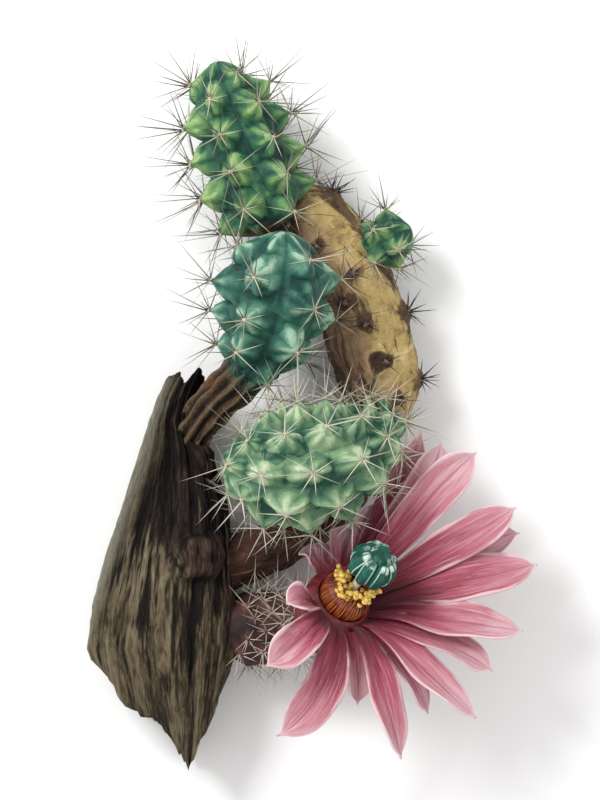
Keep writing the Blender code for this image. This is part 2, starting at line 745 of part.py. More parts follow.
def grow_spines(obj, areoles, counts, length, spread, clearance, pieces, rng):
    """Fuses a tuft of spines to each areole, bent or shortened where it would meet something else."""
    for place, (spot, facing) in enumerate(areoles):
        count = counts[place % len(counts)]
        side = facing.orthogonal().normalized()
        other = facing.cross(side)
        start = rng.uniform(0.0, math.tau)
        for k in range(count):
            bearing = start + k * math.tau / max(1, count - 1)
            open_angle = math.radians(rng.uniform(*(spread if k else CENTRAL_OPENING)))
            long = length * (rng.uniform(0.8, 1.1) if k else rng.uniform(1.0, 1.25))
            across = side * math.cos(bearing) + other * math.sin(bearing)
            for shrink, straighten in SPINE_TRIES:
                open_now = open_angle * straighten
                way = facing * math.cos(open_now) + across * math.sin(open_now)
                reach = long * shrink
                lowest = clearance.FLOOR + 0.1 - spot.z
                if way.z * reach < lowest:
                    level = math.sqrt(max(0.1, 1.0 - (lowest / reach) ** 2))
                    flat = Vector((way.x, way.y, 0.0)).normalized() * level
                    way = Vector((flat.x, flat.y, lowest / reach))
                foot = spot + across * (SPINE_SPACING if k else 0.0)
                end = foot + way * reach
                root = foot - way * SPINE_ROOT - facing * 0.5
                if clearance.free(obj.name, root, end):
                    clearance.add(obj.name, root, end)
                    rod("spine", root, end, SPINE_RADIUS, 0.0, SPINE_SIDES, pieces)
                    break
    fuse(obj, pieces)


def build_all():
    clear_scene()
    rng = random.Random(SEED)
    cactus = new_collection("hedgehog_cactus")
    cutters = new_collection("cutters", hidden=True)
    pieces = new_collection("pieces", hidden=True)

    upper = Shoot(UPPER_PATH, UPPER_FORM)
    middle = Shoot(MIDDLE_PATH, MIDDLE_FORM)
    lower = Shoot(LOWER_PATH, LOWER_FORM)
    side = Shoot(SIDE_PATH, SIDE_FORM)

    trunk = build_trunk(cactus, rng)
    neck = build_neck(cactus, rng)
    arch, thorn_areoles = build_arch(cactus, rng)
    tube, tube_areoles = build_tube(cactus)
    upper_shoot = build_shoot("upper_shoot", upper, COLUMNS_PER_RIB, cactus)
    middle_shoot = build_shoot("middle_shoot", middle, COLUMNS_PER_RIB, cactus)
    lower_shoot = build_shoot("lower_shoot", lower, LOWER_COLUMNS_PER_RIB, cactus)
    side_shoot = build_shoot("side_shoot", side, COLUMNS_PER_RIB, cactus)
    tepals = build_tepals(cactus, pieces)
    stamens = build_stamens(cactus, pieces, rng)
    style = build_style(cactus)
    stigma = build_stigma(cactus, pieces)

    for obj, neighbour in (
        (neck, trunk), (arch, trunk), (tube, trunk), (middle_shoot, neck), (upper_shoot, arch),
        (lower_shoot, arch), (side_shoot, arch), (stamens, tepals), (stamens, style), (stigma, style),
    ):
        cut(obj, neighbour, cutters)

    bodies = list(cactus.objects)
    clearance = Clearance(bodies)
    for obj, areoles, form in (
        (upper_shoot, upper.areoles(), UPPER_SPINES),
        (middle_shoot, middle.areoles(), MIDDLE_SPINES),
        (lower_shoot, lower.areoles(), LOWER_SPINES),
        (side_shoot, side.areoles(), SIDE_SPINES),
        (arch, thorn_areoles, ARCH_SPINES),
        (tube, tube_areoles, TUBE_SPINES),
    ):
        grow_spines(obj, areoles, *form, clearance, pieces, rng)

    for slot, painted in (
        ("trunk_bark", (trunk,)),
        ("neck_bark", (neck,)),
        ("corky_stem", (arch,)),
        ("green_flesh", (upper_shoot, side_shoot)),
        ("blue_flesh", (middle_shoot,)),
        ("pale_flesh", (lower_shoot,)),
        ("tube_skin", (tube,)),
        ("tepal", (tepals,)),
        ("stamen", (stamens,)),
        ("style_skin", (style,)),
        ("stigma_skin", (stigma,)),
    ):
        look = material(slot)
        for obj in painted:
            paint(obj, look)
    for obj in bodies:
        obj.data.transform(Matrix.Translation((-MIDDLE_X * MM, -MIDDLE_Y * MM, 0.0)))
    for unused in (cutters, pieces):
        bpy.data.collections.remove(unused)


def paint(obj, look):
    obj.data.materials.clear()
    obj.data.materials.append(look)
    obj.data.shade_smooth()


build_all()
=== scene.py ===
import math
import random

import bmesh
import bpy
import numpy as np
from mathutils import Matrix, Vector


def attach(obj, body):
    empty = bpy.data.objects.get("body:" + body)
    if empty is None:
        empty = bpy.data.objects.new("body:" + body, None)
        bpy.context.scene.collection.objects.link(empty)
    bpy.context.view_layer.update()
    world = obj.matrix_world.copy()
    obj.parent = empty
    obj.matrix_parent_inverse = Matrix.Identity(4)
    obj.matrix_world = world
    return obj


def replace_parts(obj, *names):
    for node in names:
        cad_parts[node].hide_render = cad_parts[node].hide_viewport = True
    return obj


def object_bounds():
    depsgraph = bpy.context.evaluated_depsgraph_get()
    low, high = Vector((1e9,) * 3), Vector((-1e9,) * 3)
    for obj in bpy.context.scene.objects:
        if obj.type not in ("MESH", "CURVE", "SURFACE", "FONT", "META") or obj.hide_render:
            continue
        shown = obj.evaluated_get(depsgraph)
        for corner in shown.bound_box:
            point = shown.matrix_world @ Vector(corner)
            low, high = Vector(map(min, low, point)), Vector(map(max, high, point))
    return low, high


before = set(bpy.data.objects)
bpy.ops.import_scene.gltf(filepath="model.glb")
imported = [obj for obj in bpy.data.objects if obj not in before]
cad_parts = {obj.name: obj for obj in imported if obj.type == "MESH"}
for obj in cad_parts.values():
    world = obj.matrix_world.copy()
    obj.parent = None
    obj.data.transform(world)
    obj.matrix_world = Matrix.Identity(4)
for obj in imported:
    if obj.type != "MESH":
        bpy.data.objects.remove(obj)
cad_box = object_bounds()

# Sizes are in millimetres about the same point as in the part's source, and become metres at the end
MM = 0.001
MIDDLE = np.array([0.6, 3.4, 0.0])
BOX_LOW, BOX_HIGH = [np.array(corner) / MM + MIDDLE for corner in cad_box]
SEED = 12
TAU = math.tau

# Up the plate: how far up, then the left, right, lowest and highest edge there
TRUNK_EDGES = (
    (9.0, -34.5, -25.5, 6.0, 14.0),
    (2.0, -37.5, -28.5, 3.5, 17.0),
    (-4.0, -39.5, -29.5, 2.0, 19.0),
    (-12.0, -42.3, -25.0, 0.0, 20.5),
    (-24.0, -46.5, -21.2, -0.5, 22.5),
    (-36.0, -50.4, -19.8, -0.8, 24.0),
    (-49.0, -53.6, -18.8, -0.8, 25.0),
    (-61.0, -55.2, -18.8, -0.8, 25.0),
    (-74.0, -51.5, -21.0, -0.5, 24.0),
    (-90.0, -44.0, -24.5, 1.5, 19.0),
)
# The two broken ends: how far sideways, from -1 to 1, and the height on the plate
TRUNK_TOP = ((-1.0, 6.5), (-0.5, 8.0), (0.0, 5.5), (0.4, 9.8), (1.0, 6.0))
TRUNK_END = (
    (-1.0, -62.0), (-0.6, -74.0), (-0.2, -79.0), (0.1, -84.5), (0.35, -89.5), (0.7, -81.0), (1.0, -64.0),
)
TRUNK_FURROW = 1.5
# Each knob's place, reach and height
TRUNK_KNOBS = (
    (-26.5, -38.0, 21.5, 6.6, 4.4), (-27.0, -13.0, 17.0, 5.0, 2.6), (-45.0, -58.0, 17.0, 4.0, 1.6),
)
TRUNK_COLUMNS = 30
NECK_COLUMNS = 20
ARCH_COLUMNS = 18
# Points round and along each skin, and how far it stops short of the ends of its line
TRUNK_GRID = (300, 230)
TRUNK_ENDS = 0.03
NECK_GRID = (160, 110, 0.004)
ARCH_GRID = (150, 420, 0.002)
TUBE_GRID = (120, 120, 0.004)
TUBE_AREOLES = 46
SPINE_FLOOR = 1.0

# Paths of x, y, z and radius
NECK_PATH = (
    (-33.0, -12.0, 13.5, 4.6),
    (-26.0, -2.0, 17.0, 4.7),
    (-18.5, 5.5, 21.0, 5.3),
    (-12.5, 11.5, 25.0, 5.8),
)
ARCH_PATH = (
    (-29.0, -41.5, 12.0, 7.2),
    (-15.0, -38.0, 9.5, 6.4),
    (-2.5, -32.0, 7.8, 5.9),
    (6.5, -23.5, 7.4, 6.0),
    (12.5, -12.5, 7.8, 6.8),
    (16.0, -2.5, 9.0, 8.6),
    (17.2, 5.5, 9.9, 10.0),
    (15.2, 14.0, 10.2, 10.6),
    (12.0, 26.2, 10.1, 10.6),
    (7.0, 36.8, 9.9, 10.5),
    (-0.2, 44.6, 9.8, 10.2),
    (-8.6, 47.4, 12.6, 9.2),
    (-13.5, 48.0, 15.0, 8.0),
)
ARCH_AREOLES = (
    (10.8, 32.2), (14.0, 19.8), (18.5, 11.0), (23.5, 23.2), (27.2, 6.3), (5.0, 53.0), (2.2, 39.5),
    (-9.5, 46.0), (18.0, 36.5), (9.0, 25.5), (21.5, 2.0),
)
ARCH_SCAR = (17.0, 10.7, 20.0)
ARCH_SCAR_RADIUS = 3.0
UPPER_PATH = (
    (-9.5, 43.0, 15.5, 8.5),
    (-12.5, 51.5, 16.8, 11.6),
    (-15.5, 60.5, 17.5, 11.8),
    (-18.8, 70.5, 17.8, 10.8),
    (-21.8, 79.0, 17.8, 9.4),
    (-23.4, 85.8, 17.6, 6.6),
)
MIDDLE_PATH = (
    (-16.5, 7.0, 22.0, 5.8),
    (-13.0, 13.5, 25.5, 9.5),
    (-10.0, 21.5, 28.5, 12.6),
    (-8.2, 30.0, 31.0, 13.2),
    (-7.0, 37.5, 32.5, 11.5),
    (-6.2, 43.0, 33.2, 8.4),
)
LOWER_PATH = (
    (17.0, -1.5, 12.0, 6.0),
    (15.3, -6.5, 19.0, 8.0),
    (10.8, -11.0, 26.8, 10.8),
    (4.0, -13.8, 32.6, 13.8),
    (-5.0, -15.4, 35.2, 14.3),
    (-14.5, -15.0, 34.6, 12.2),
    (-21.8, -13.4, 32.6, 8.4),
)
SIDE_PATH = (
    (12.5, 37.5, 12.5, 5.0),
    (18.0, 40.5, 14.0, 6.2),
    (22.3, 42.6, 15.2, 5.8),
    (25.3, 44.0, 16.0, 3.9),
)
TUBE_PATH = (
    (-23.0, -55.0, 11.5, 6.2),
    (-14.5, -56.0, 11.5, 9.0),
    (-7.0, -55.5, 13.5, 8.7),
    (-0.2, -54.0, 17.6, 7.8),
    (3.9, -52.8, 22.4, 8.4),
    (5.9, -50.6, 25.5, 8.9),
)
THROAT = np.array([7.5, -48.75, 28.0])
FACING = np.array([0.46, 0.54, 0.71]) / np.linalg.norm([0.46, 0.54, 0.71])
RING_RADIUS = 7.2
# Outlines turned about the flower's axis, as pairs of radius and height
TEPAL_RING = (
    (RING_RADIUS - 1.6, -0.6), (RING_RADIUS + 1.7, -2.6), (RING_RADIUS + 1.9, -0.4), (RING_RADIUS - 0.4, 1.4),
)
STAMEN_BARREL = ((0.0, 0.3), (5.0, 0.3), (5.9, 2.6), (5.9, 4.6), (4.8, 6.0), (3.0, 6.4), (0.0, 5.8))
FILAMENT_RINGS = (84, 72, 54)
ANTHERS = 96
TEPALS = (
    # tip right, up and toward the viewer from the throat, width, fold of the edges, curl of the tip,
    # sideways swing, layer
    (26.5, 41.0, -10.5, 9.0, 0.28, -3.0, 4.0, 0),
    (20.0, 41.5, -15.5, 7.0, 0.25, 1.0, 1.0, 1),
    (33.5, 36.5, -4.0, 10.5, 0.22, 1.0, -2.0, 1),
    (43.0, 22.5, -5.0, 10.0, 0.22, 1.5, 2.0, 0),
    (44.5, 16.5, -10.0, 10.0, 0.20, 0.5, -2.0, 1),
    (48.0, 8.0, -3.0, 12.0, 0.18, 2.0, 1.5, 0),
    (31.0, -1.0, -7.0, 8.5, 0.20, -1.0, 0.0, 1),
    (44.5, -8.0, 2.5, 10.5, 0.20, 1.5, 2.5, 0),
    (38.5, -16.0, 4.0, 9.5, 0.24, -2.0, 1.0, 1),
    (33.0, -29.0, 8.0, 9.0, 0.25, 1.0, 3.0, 0),
    (16.0, -37.0, 14.0, 9.0, 0.25, -2.5, 2.0, 0),
    (24.0, -25.0, 5.0, 6.5, 0.30, -5.0, 2.0, 1),
    (6.0, -23.0, 9.0, 7.5, 0.25, -4.0, 1.0, 1),
    (-13.0, -29.5, 15.0, 10.5, 0.22, -6.0, -9.0, 0),
    (-16.0, -12.5, 24.0, 9.5, 0.34, -5.0, -2.0, 0),
    (-12.0, 1.5, 18.0, 7.5, 0.35, -3.0, 1.0, 1),
    (-8.0, 14.0, -7.0, 9.0, 0.15, 0.0, 0.0, 0),
    (1.0, 18.5, -11.0, 9.0, 0.15, 0.0, 0.0, 0),
    (10.5, 24.0, -12.5, 8.5, 0.15, 0.0, 0.0, 1),
)
TEPAL_ROOT_WIDTH = 0.28
TEPAL_WIDEST = 0.72
TEPAL_WAVE = 0.22
TEPAL_ACROSS = 18
TEPAL_ALONG = 44
TEPAL_THICK = 0.5
STIGMA_REACH = 17.5
STIGMA_CORE = 4.6
# Each ring of lobes: how many, distance from the axis, height of the middle, half length, lean inward
STIGMA_LOBES = ((8, 4.3, 0.4, 5.0, 0.16), (4, 1.8, 2.2, 4.6, 0.05))
STIGMA_LOBE_RADIUS = 1.9
GOLDEN_ANGLE = math.radians(137.5)
SWELLING_POWER = 1.35
SWELLING_LENGTH = 0.75
FACETS = 5

# Camera, floor and lights. A lamp is its name, place, size and power
VIEW_MIDDLE = (-3.1, -2.15)
VIEW_HEIGHT = 200.0
CAMERA_AWAY = 1600.0
SENSOR = 36.0
FLOOR_HALF = 3.0
FLOOR_HEIGHT = -0.0003
SURROUND = 0.78
LAMPS = (("key", (-0.55, 0.50, 0.75), 0.35, 9.0), ("fill", (0.7, -0.2, 0.8), 0.8, 2.0))


def unit(vectors):
    return vectors / np.linalg.norm(vectors, axis=-1, keepdims=True)


def grid(*values):
    """The values side by side for every point: two make UV pairs and three make places."""
    return np.stack(np.broadcast_arrays(*values), axis=-1)


def bell(value, middle, width):
    """1 at the middle, falling away on both sides."""
    return np.exp(-((value - middle) ** 2) / width)


def signed_power(value, power):
    return np.sign(value) * np.abs(value) ** power


def rough(points, size, seed=0):
    """Smooth noise from -1 to 1 at each point, with lumps of about that size."""
    cells = np.asarray(points) / size + seed * 17.31
    base = np.floor(cells).astype(np.int64)
    part = cells - base
    ease = part * part * (3.0 - 2.0 * part)
    total = np.zeros(cells.shape[:-1])
    for corner in range(8):
        step = np.array([corner & 1, corner >> 1 & 1, corner >> 2 & 1])
        key = (base + step) @ np.array([73856093, 19349663, 83492791])
        value = np.sin(key % 10007 * 12.9898) * 43758.5453
        total += (value - np.floor(value)) * np.prod(np.where(step, ease, 1.0 - ease), axis=-1)
    return 2.0 * total - 1.0


def bearings(columns):
    """A row of angles all round."""
    return np.linspace(0.0, TAU, columns, endpoint=False)[None, :]


def spokes(first, second, angle):
    """The way out at each angle, from the first direction toward the second."""
    return first * np.cos(angle)[..., None] + second * np.sin(angle)[..., None]


class Centreline:
    """A smooth line through points of x, y, z and radius, read by the share of its length."""

    STEPS = 12

    def __init__(self, points):
        rows = np.array(points, float)
        padded = np.vstack([2 * rows[0] - rows[1], rows, 2 * rows[-1] - rows[-2]])
        samples = []
        for k in range(len(rows) - 1):
            a, b, c, d = padded[k : k + 4]
            for t in np.arange(self.STEPS) / self.STEPS:
                bend = 2 * a - 5 * b + 4 * c - d + t * (3 * b - 3 * c + d - a)
                samples.append(b + 0.5 * t * (c - a + t * bend))
        samples.append(rows[-1])
        self.rows = np.array(samples)
        steps = np.linalg.norm(np.diff(self.rows[:, :3], axis=0), axis=1)
        self.share = np.concatenate([[0.0], np.cumsum(steps)]) / steps.sum()

    def read(self, t):
        return np.stack([np.interp(t, self.share, self.rows[:, k]) for k in range(4)], axis=-1)

    def frames(self, t):
        """At each share: the point, tangent, sideways and upward directions, and the radius."""
        t = np.asarray(t, float)
        rows = self.read(t)
        step = self.read(np.minimum(t + 0.02, 1.0)) - self.read(np.maximum(t - 0.02, 0.0))
        tangent = unit(step[..., :3])
        side = unit(np.cross([0.0, 0.0, 1.0], tangent))
        return rows[..., :3], tangent, side, np.cross(tangent, side), rows[..., 3]


def grid_round(path, columns, rings, inset):
    """A grid round a line: its angles and shares, and at each the middle, the way out and the radius."""
    angle = bearings(columns)
    t = np.linspace(inset, 1.0 - inset, rings)[:, None]
    centre, _, side, up, radius = Centreline(path).frames(t)
    return angle, t, centre, spokes(side, up, angle), radius


def between_columns(angle, columns, value_at):
    """The values of the solid's two nearest columns, blended by how near each is."""
    place = angle / TAU * columns
    column = np.floor(place).astype(int)
    part = place - column
    return value_at(column % columns) * (1.0 - part) + value_at((column + 1) % columns) * part


def rounded(t, start, end):
    """1 along the middle, falling to 0 at both ends as a round end does."""
    near = np.minimum(1.0, t / start)
    far = np.minimum(1.0, (1.0 - t) / end)
    near_end = np.sqrt(np.maximum(0.0, 1.0 - (1.0 - near) ** 2))
    return near_end * np.sqrt(np.maximum(0.0, 1.0 - (1.0 - far) ** 2))


def mesh_object(name, points, faces, layers, material):
    """An object from points in millimetres, faces as index rows, and UV layers as one pair for each point."""
    mesh = bpy.data.meshes.new(name)
    mesh.from_pydata(((np.asarray(points) - MIDDLE) * MM).tolist(), [], [tuple(f) for f in faces])
    corners = np.empty(len(mesh.loops), np.int32)
    mesh.loops.foreach_get("vertex_index", corners)
    for layer_name, pairs in layers.items():
        layer = mesh.uv_layers.new(name=layer_name)
        layer.data.foreach_set("uv", np.asarray(pairs, np.float32)[corners].ravel())
    mesh.validate()
    mesh.shade_smooth()
    mesh.materials.append(material)
    obj = bpy.data.objects.new(name, mesh)
    bpy.context.scene.collection.objects.link(obj)
    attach(obj, "root")
    return obj


def ring_quads(rings, columns):
    """The faces between rings of points, the index of each point and that of the next one in its ring."""
    index = np.arange(rings * columns).reshape(rings, columns)
    beside = np.roll(index, -1, axis=1)
    quads = np.stack([index[:-1], beside[:-1], beside[1:], index[1:]], axis=-1)
    return quads.reshape(-1, 4).tolist(), index, beside


def skin(name, points, layers, material):
    """A closed skin from rings of points, where points[i, j] is column j of ring i. Both ends are closed."""
    rings, columns = points.shape[:2]
    faces, index, beside = ring_quads(rings, columns)
    last = rings * columns + 1
    faces += [(last - 1, beside[0, j], index[0, j]) for j in range(columns)]
    faces += [(last, index[-1, j], beside[-1, j]) for j in range(columns)]
    middles = np.stack([points[0].mean(axis=0), points[-1].mean(axis=0)])
    flat = {}
    for key, pairs in layers.items():
        flat[key] = np.vstack([pairs.reshape(-1, 2), pairs[0].mean(axis=0), pairs[-1].mean(axis=0)])
    return mesh_object(name, np.vstack([points.reshape(-1, 3), middles]), faces, flat, material)


class Shoot:
    """A ribbed shoot whose ribs are rows of swellings, each with an areole on its peak."""

    def __init__(self, points, form):
        self.line = Centreline(points)
        self.ribs, self.rows, self.height, self.turn = form

    def place_on_rib(self, angle, t):
        """How far across its rib a point is, and how far along from the nearest areole, each from -1 to 1."""
        place = (angle - self.turn) / (TAU / self.ribs)
        rib = np.round(place)
        along = t * self.rows - 0.5 * (rib % self.ribs % 2) - 0.5
        return 2.0 * (place - rib), 2.0 * (along - np.round(along))

    def relief(self, angle, t):
        """The height of the swelling at each point, and of the folds, creases and facets on it."""
        across, along = self.place_on_rib(angle, t)
        away = np.abs(across) ** SWELLING_POWER + np.abs(SWELLING_LENGTH * along) ** SWELLING_POWER
        away = away ** (1.0 / SWELLING_POWER)
        peak = np.clip(1.0 - away, 0.0, 1.0) + 0.08 * bell(away, 0.0, 0.015)
        fold = -0.11 * bell(np.abs(along), 1.0, 0.0144) * np.clip(1.0 - across**2, 0.0, 1.0)
        crease = -0.07 * bell(np.abs(across), 1.0, 0.01)
        turn = np.arctan2(SWELLING_LENGTH * along, across) / TAU * FACETS
        turn = turn + 0.37 * np.sin(5.0 * t + 3.0 * angle)
        sharp = 4.0 * np.abs(turn - np.floor(turn) - 0.5) - 1.0
        facets = 0.52 * sharp * np.clip(away * (1.0 - away), 0.0, 0.25)
        return peak, fold + crease + facets

    def points(self, angle, t, lift=0.0):
        centre, _, side, up, radius = self.line.frames(t)
        close = rounded(t, 0.12, 0.30)
        peak, folds = self.relief(angle, t)
        rise = 1.0 + self.height * (peak - 0.4 + folds) * np.minimum(1.0, 0.35 + close)
        return centre + spokes(side, up, angle) * (radius * close * rise + lift)[..., None]

    def areoles(self):
        """Each areole's place and the way that it faces."""
        found = []
        for rib in range(self.ribs):
            angle = np.array(self.turn + rib * TAU / self.ribs)
            for row in range(self.rows):
                t = np.array((row + 0.5 + 0.5 * (rib % 2)) / self.rows)
                if t > 0.97:
                    continue
                point = self.points(angle, t)
                ahead = self.line.frames(t)[1]
                out = unit(self.points(angle, t, 1.0) - point)
                found.append((point, unit(out + ahead * (0.25 + 0.9 * t**4))))
        return found

    def build(self, name, seed, material):
        even = np.linspace(0.0, 1.0, 24 * self.rows + 20)[1:-1, None]
        t = 0.55 * even + 0.45 * (1.0 - np.cos(math.pi * even)) / 2.0
        t, angle = np.broadcast_arrays(t, bearings(18 * self.ribs))
        points = self.points(angle, t)
        out = unit(points - self.line.frames(t)[0])
        lumps = 0.22 * rough(points, 2.4, seed) + 0.10 * rough(points, 0.9, seed + 1)
        points = points + out * lumps[..., None]
        peak, folds = self.relief(angle, t)
        # The relief layer: low in furrows and folds for painted shade, high on the peaks for a painted
        # highlight
        shown = np.clip(0.22 + 0.45 * peak + 1.9 * folds, 0.0, 1.0)
        layers = {"skin": grid(angle / TAU, t), "relief": grid(shown, t)}
        return skin(name, points, layers, material)


def bristles(name, spines, material, sides=4, steps=4):
    """Tapering, slightly bent spines in one mesh, each its root, way, length, thickness, bend and shade."""
    points = []
    faces = []
    pairs = []
    for root, way, length, thick, bend, shade in spines:
        first = len(points)
        other = unit(np.cross(way, [0.3, 0.2, 0.93]))
        third = np.cross(way, other)
        for i in range(steps):
            t = i / steps
            middle = root + way * length * t + bend * length * t * t
            reach = thick * (1.0 - t) ** 0.8 * (1.25 if i == 0 else 1.0)
            for j in range(sides):
                points.append(middle + spokes(other, third, TAU * j / sides) * reach)
                pairs.append((t, shade))
        points.append(root + way * length + bend * length)
        pairs.append((1.0, shade))
        tip = len(points) - 1
        for j in range(sides):
            for i in range(steps - 1):
                a = first + i * sides + j
                b = first + i * sides + (j + 1) % sides
                faces.append((a, b, b + sides, a + sides))
            a = first + (steps - 1) * sides
            faces.append((a + j, a + (j + 1) % sides, tip))
        faces.append(tuple(first + j for j in reversed(range(sides))))
    return mesh_object(name, points, faces, {"skin": pairs}, material)


def cushions(name, places, radius, seed, material):
    """A small uneven cushion at each place, in one mesh: felt pads or anthers."""
    builder = bmesh.new()
    bmesh.ops.create_icosphere(builder, subdivisions=2, radius=1.0)
    ball = np.array([vert.co for vert in builder.verts])
    ball_faces = np.array([[vert.index for vert in face.verts] for face in builder.faces])
    builder.free()
    points = []
    faces = []
    for k, (spot, way) in enumerate(places):
        other = unit(np.cross(way, [0.3, 0.2, 0.93]))
        third = np.cross(way, other)
        size = radius * (1.0 + 0.2 * rough(ball * 3.0 + k, 1.1, seed))[:, None]
        points.append(spot + (ball[:, :1] * other + ball[:, 1:2] * third + 0.55 * ball[:, 2:] * way) * size)
        faces.append(ball_faces + k * len(ball))
    pairs = np.full((len(places) * len(ball), 2), 0.5)
    return mesh_object(name, np.vstack(points), np.vstack(faces).tolist(), {"skin": pairs}, material)


def kept_inside(spot, way, long):
    """The length at which a spine's tip stays inside the solid part's box."""
    for axis in range(3):
        if abs(way[axis]) > 0.01:
            wall = BOX_HIGH[axis] if way[axis] > 0.0 else BOX_LOW[axis]
            long = min(long, (wall - spot[axis]) / way[axis])
    return max(1.0, long)


def tuft(areoles, rng, radials, centrals, length, thick, spread, shade_of):
    """Spines for each areole: a ring of radials laid outward and a few longer centrals."""
    made = []
    for spot, facing in areoles:
        side = unit(np.cross(facing, [0.13, 0.31, 0.94]))
        other = np.cross(facing, side)
        start = rng.uniform(0.0, TAU)
        for k in range(radials + centrals):
            central = k >= radials
            bearing = start + k * TAU / radials + rng.uniform(-0.2, 0.2)
            opening = math.radians(rng.uniform(5.0, 28.0) if central else rng.uniform(*spread))
            long = length * (rng.uniform(1.0, 1.35) if central else rng.uniform(0.6, 1.1))
            across = spokes(side, other, bearing)
            way = facing * math.cos(opening) + across * math.sin(opening)
            lowest = SPINE_FLOOR - spot[2]
            if way[2] * long < lowest:
                level = math.sqrt(max(0.1, 1.0 - (lowest / long) ** 2))
                way = np.append(unit(way[:2]) * level, lowest / long)
            bend = unit(np.array([rng.gauss(0, 1), rng.gauss(0, 1), abs(rng.gauss(0, 1))]))
            bend = bend * rng.uniform(0.0, 0.06)
            long = kept_inside(spot, way, long)
            root = spot - way * 0.6 + across * 0.35
            made.append((root, way, long, thick * rng.uniform(0.8, 1.15), bend, shade_of(way, rng)))
    return made


def painted_sky_light(way, rng):
    """Painted sky light: pale where a spine points to the sky, dark where it points sideways or down."""
    return min(1.0, max(0.0, 0.15 + 0.85 * way[2] + rng.uniform(-0.25, 0.25)))


def dark_shade(way, rng):
    return rng.uniform(0.0, 0.25)


def pale_with_painted_sky_light(way, rng):
    # Pale spines with painted sky light: paler the more a spine points up
    return min(1.0, max(0.0, 0.55 + 0.5 * way[2] + rng.uniform(-0.25, 0.25)))


class Field:
    """A number or colour that varies over a surface. Arithmetic on it adds the nodes that work it out."""

    def __init__(self, look, socket):
        self.look = look
        self.socket = socket

    def __add__(self, other):
        return self.look.maths("ADD", self, other)

    def __sub__(self, other):
        return self.look.maths("SUBTRACT", self, other)

    def __rsub__(self, other):
        return self.look.maths("SUBTRACT", other, self)

    def __mul__(self, other):
        return self.look.maths("MULTIPLY", self, other)

    def __truediv__(self, other):
        return self.look.maths("DIVIDE", self, other)

    def __abs__(self):
        return self.look.maths("ABSOLUTE", self, 0.0)

    def swing(self, amount):
        """The field about 0, for one from 0 to 1."""
        return (self - 0.5) * amount

    def level(self, low, high, most=1.0):
        """0 up to low and the most past high, smoothly between."""
        inputs = {"Value": self, "From Min": low, "From Max": high, "To Max": most}
        return self.look.add("ShaderNodeMapRange", inputs, interpolation_type="SMOOTHSTEP")

    def ramp(self, *stops):
        """Colours by position."""
        colour = self.look.add("ShaderNodeValToRGB", {0: self})
        ramp = colour.socket.node.color_ramp
        ramp.interpolation = "EASE"
        while len(ramp.elements) < len(stops):
            ramp.elements.new(0.5)
        for element, (position, shade) in zip(ramp.elements, stops):
            element.position = position
            element.color = (*shade, 1.0)
        return colour

    def toward(self, other, share):
        return self.look.mix(self, other, share)


class Look:
    """A material built node by node."""

    def __init__(self, name):
        self.material = bpy.data.materials.new(name)
        self.material.use_nodes = True
        self.tree = self.material.node_tree
        self.shader = self.tree.nodes["Principled BSDF"]

    def add(self, kind, inputs, output=0, **settings):
        """A new node's output."""
        node = self.tree.nodes.new(kind)
        for key, value in settings.items():
            setattr(node, key, value)
        for key, value in inputs.items():
            self.put(node.inputs[key], value)
        return Field(self, node.outputs[output])

    def put(self, socket, value):
        if isinstance(value, Field):
            self.tree.links.new(value.socket, socket)
        elif socket.type == "RGBA":
            socket.default_value = (*value, 1.0)
        else:
            socket.default_value = value

    def maths(self, kind, first, second):
        return self.add("ShaderNodeMath", {0: first, 1: second}, operation=kind)

    def mix(self, first, second, share):
        return self.add("ShaderNodeMix", {0: share, 6: first, 7: second}, 2, data_type="RGBA")

    def layer(self, name):
        """The two numbers of a UV layer."""
        pair = self.add("ShaderNodeUVMap", {}, uv_map=name)
        return self.add("ShaderNodeSeparateXYZ", {0: pair}), self.add("ShaderNodeSeparateXYZ", {0: pair}, 1)

    def place(self):
        """Places on the object, in metres."""
        return self.add("ShaderNodeTexCoord", {}, "Object")

    def coordinate(self, axis):
        return self.add("ShaderNodeSeparateXYZ", {0: self.place()}, axis)

    def stretched(self, place, across, along):
        return self.add("ShaderNodeMapping", {0: place, "Scale": (across, along, 1.0)})

    def on_skin(self, across, along):
        """Places round and along the skin, stretched."""
        return self.stretched(self.add("ShaderNodeUVMap", {}, uv_map="skin"), across, along)

    def noise(self, scale, place=None, detail=4.0, roughness=0.55, distortion=0.0):
        inputs = {"Vector": place or self.place(), "Scale": scale, "Detail": detail,
                  "Roughness": roughness, "Distortion": distortion}
        return self.add("ShaderNodeTexNoise", inputs, "Fac")

    def bump(self, height, strength, distance):
        inputs = {"Height": height, "Strength": strength, "Distance": distance * MM}
        self.put(self.shader.inputs["Normal"], self.add("ShaderNodeBump", inputs))

    def finish(self, colour, roughness, subsurface=0.0, sheen=0.0, specular=0.4):
        self.put(self.shader.inputs["Base Color"], colour)
        self.put(self.shader.inputs["Roughness"], roughness)
        self.shader.inputs["Specular IOR Level"].default_value = specular
        self.shader.inputs["Sheen Weight"].default_value = sheen
        if subsurface:
            self.shader.inputs["Subsurface Weight"].default_value = subsurface
            self.shader.inputs["Subsurface Radius"].default_value = (0.002, 0.0012, 0.0008)
            self.shader.inputs["Subsurface Scale"].default_value = 1.0
        return self.material


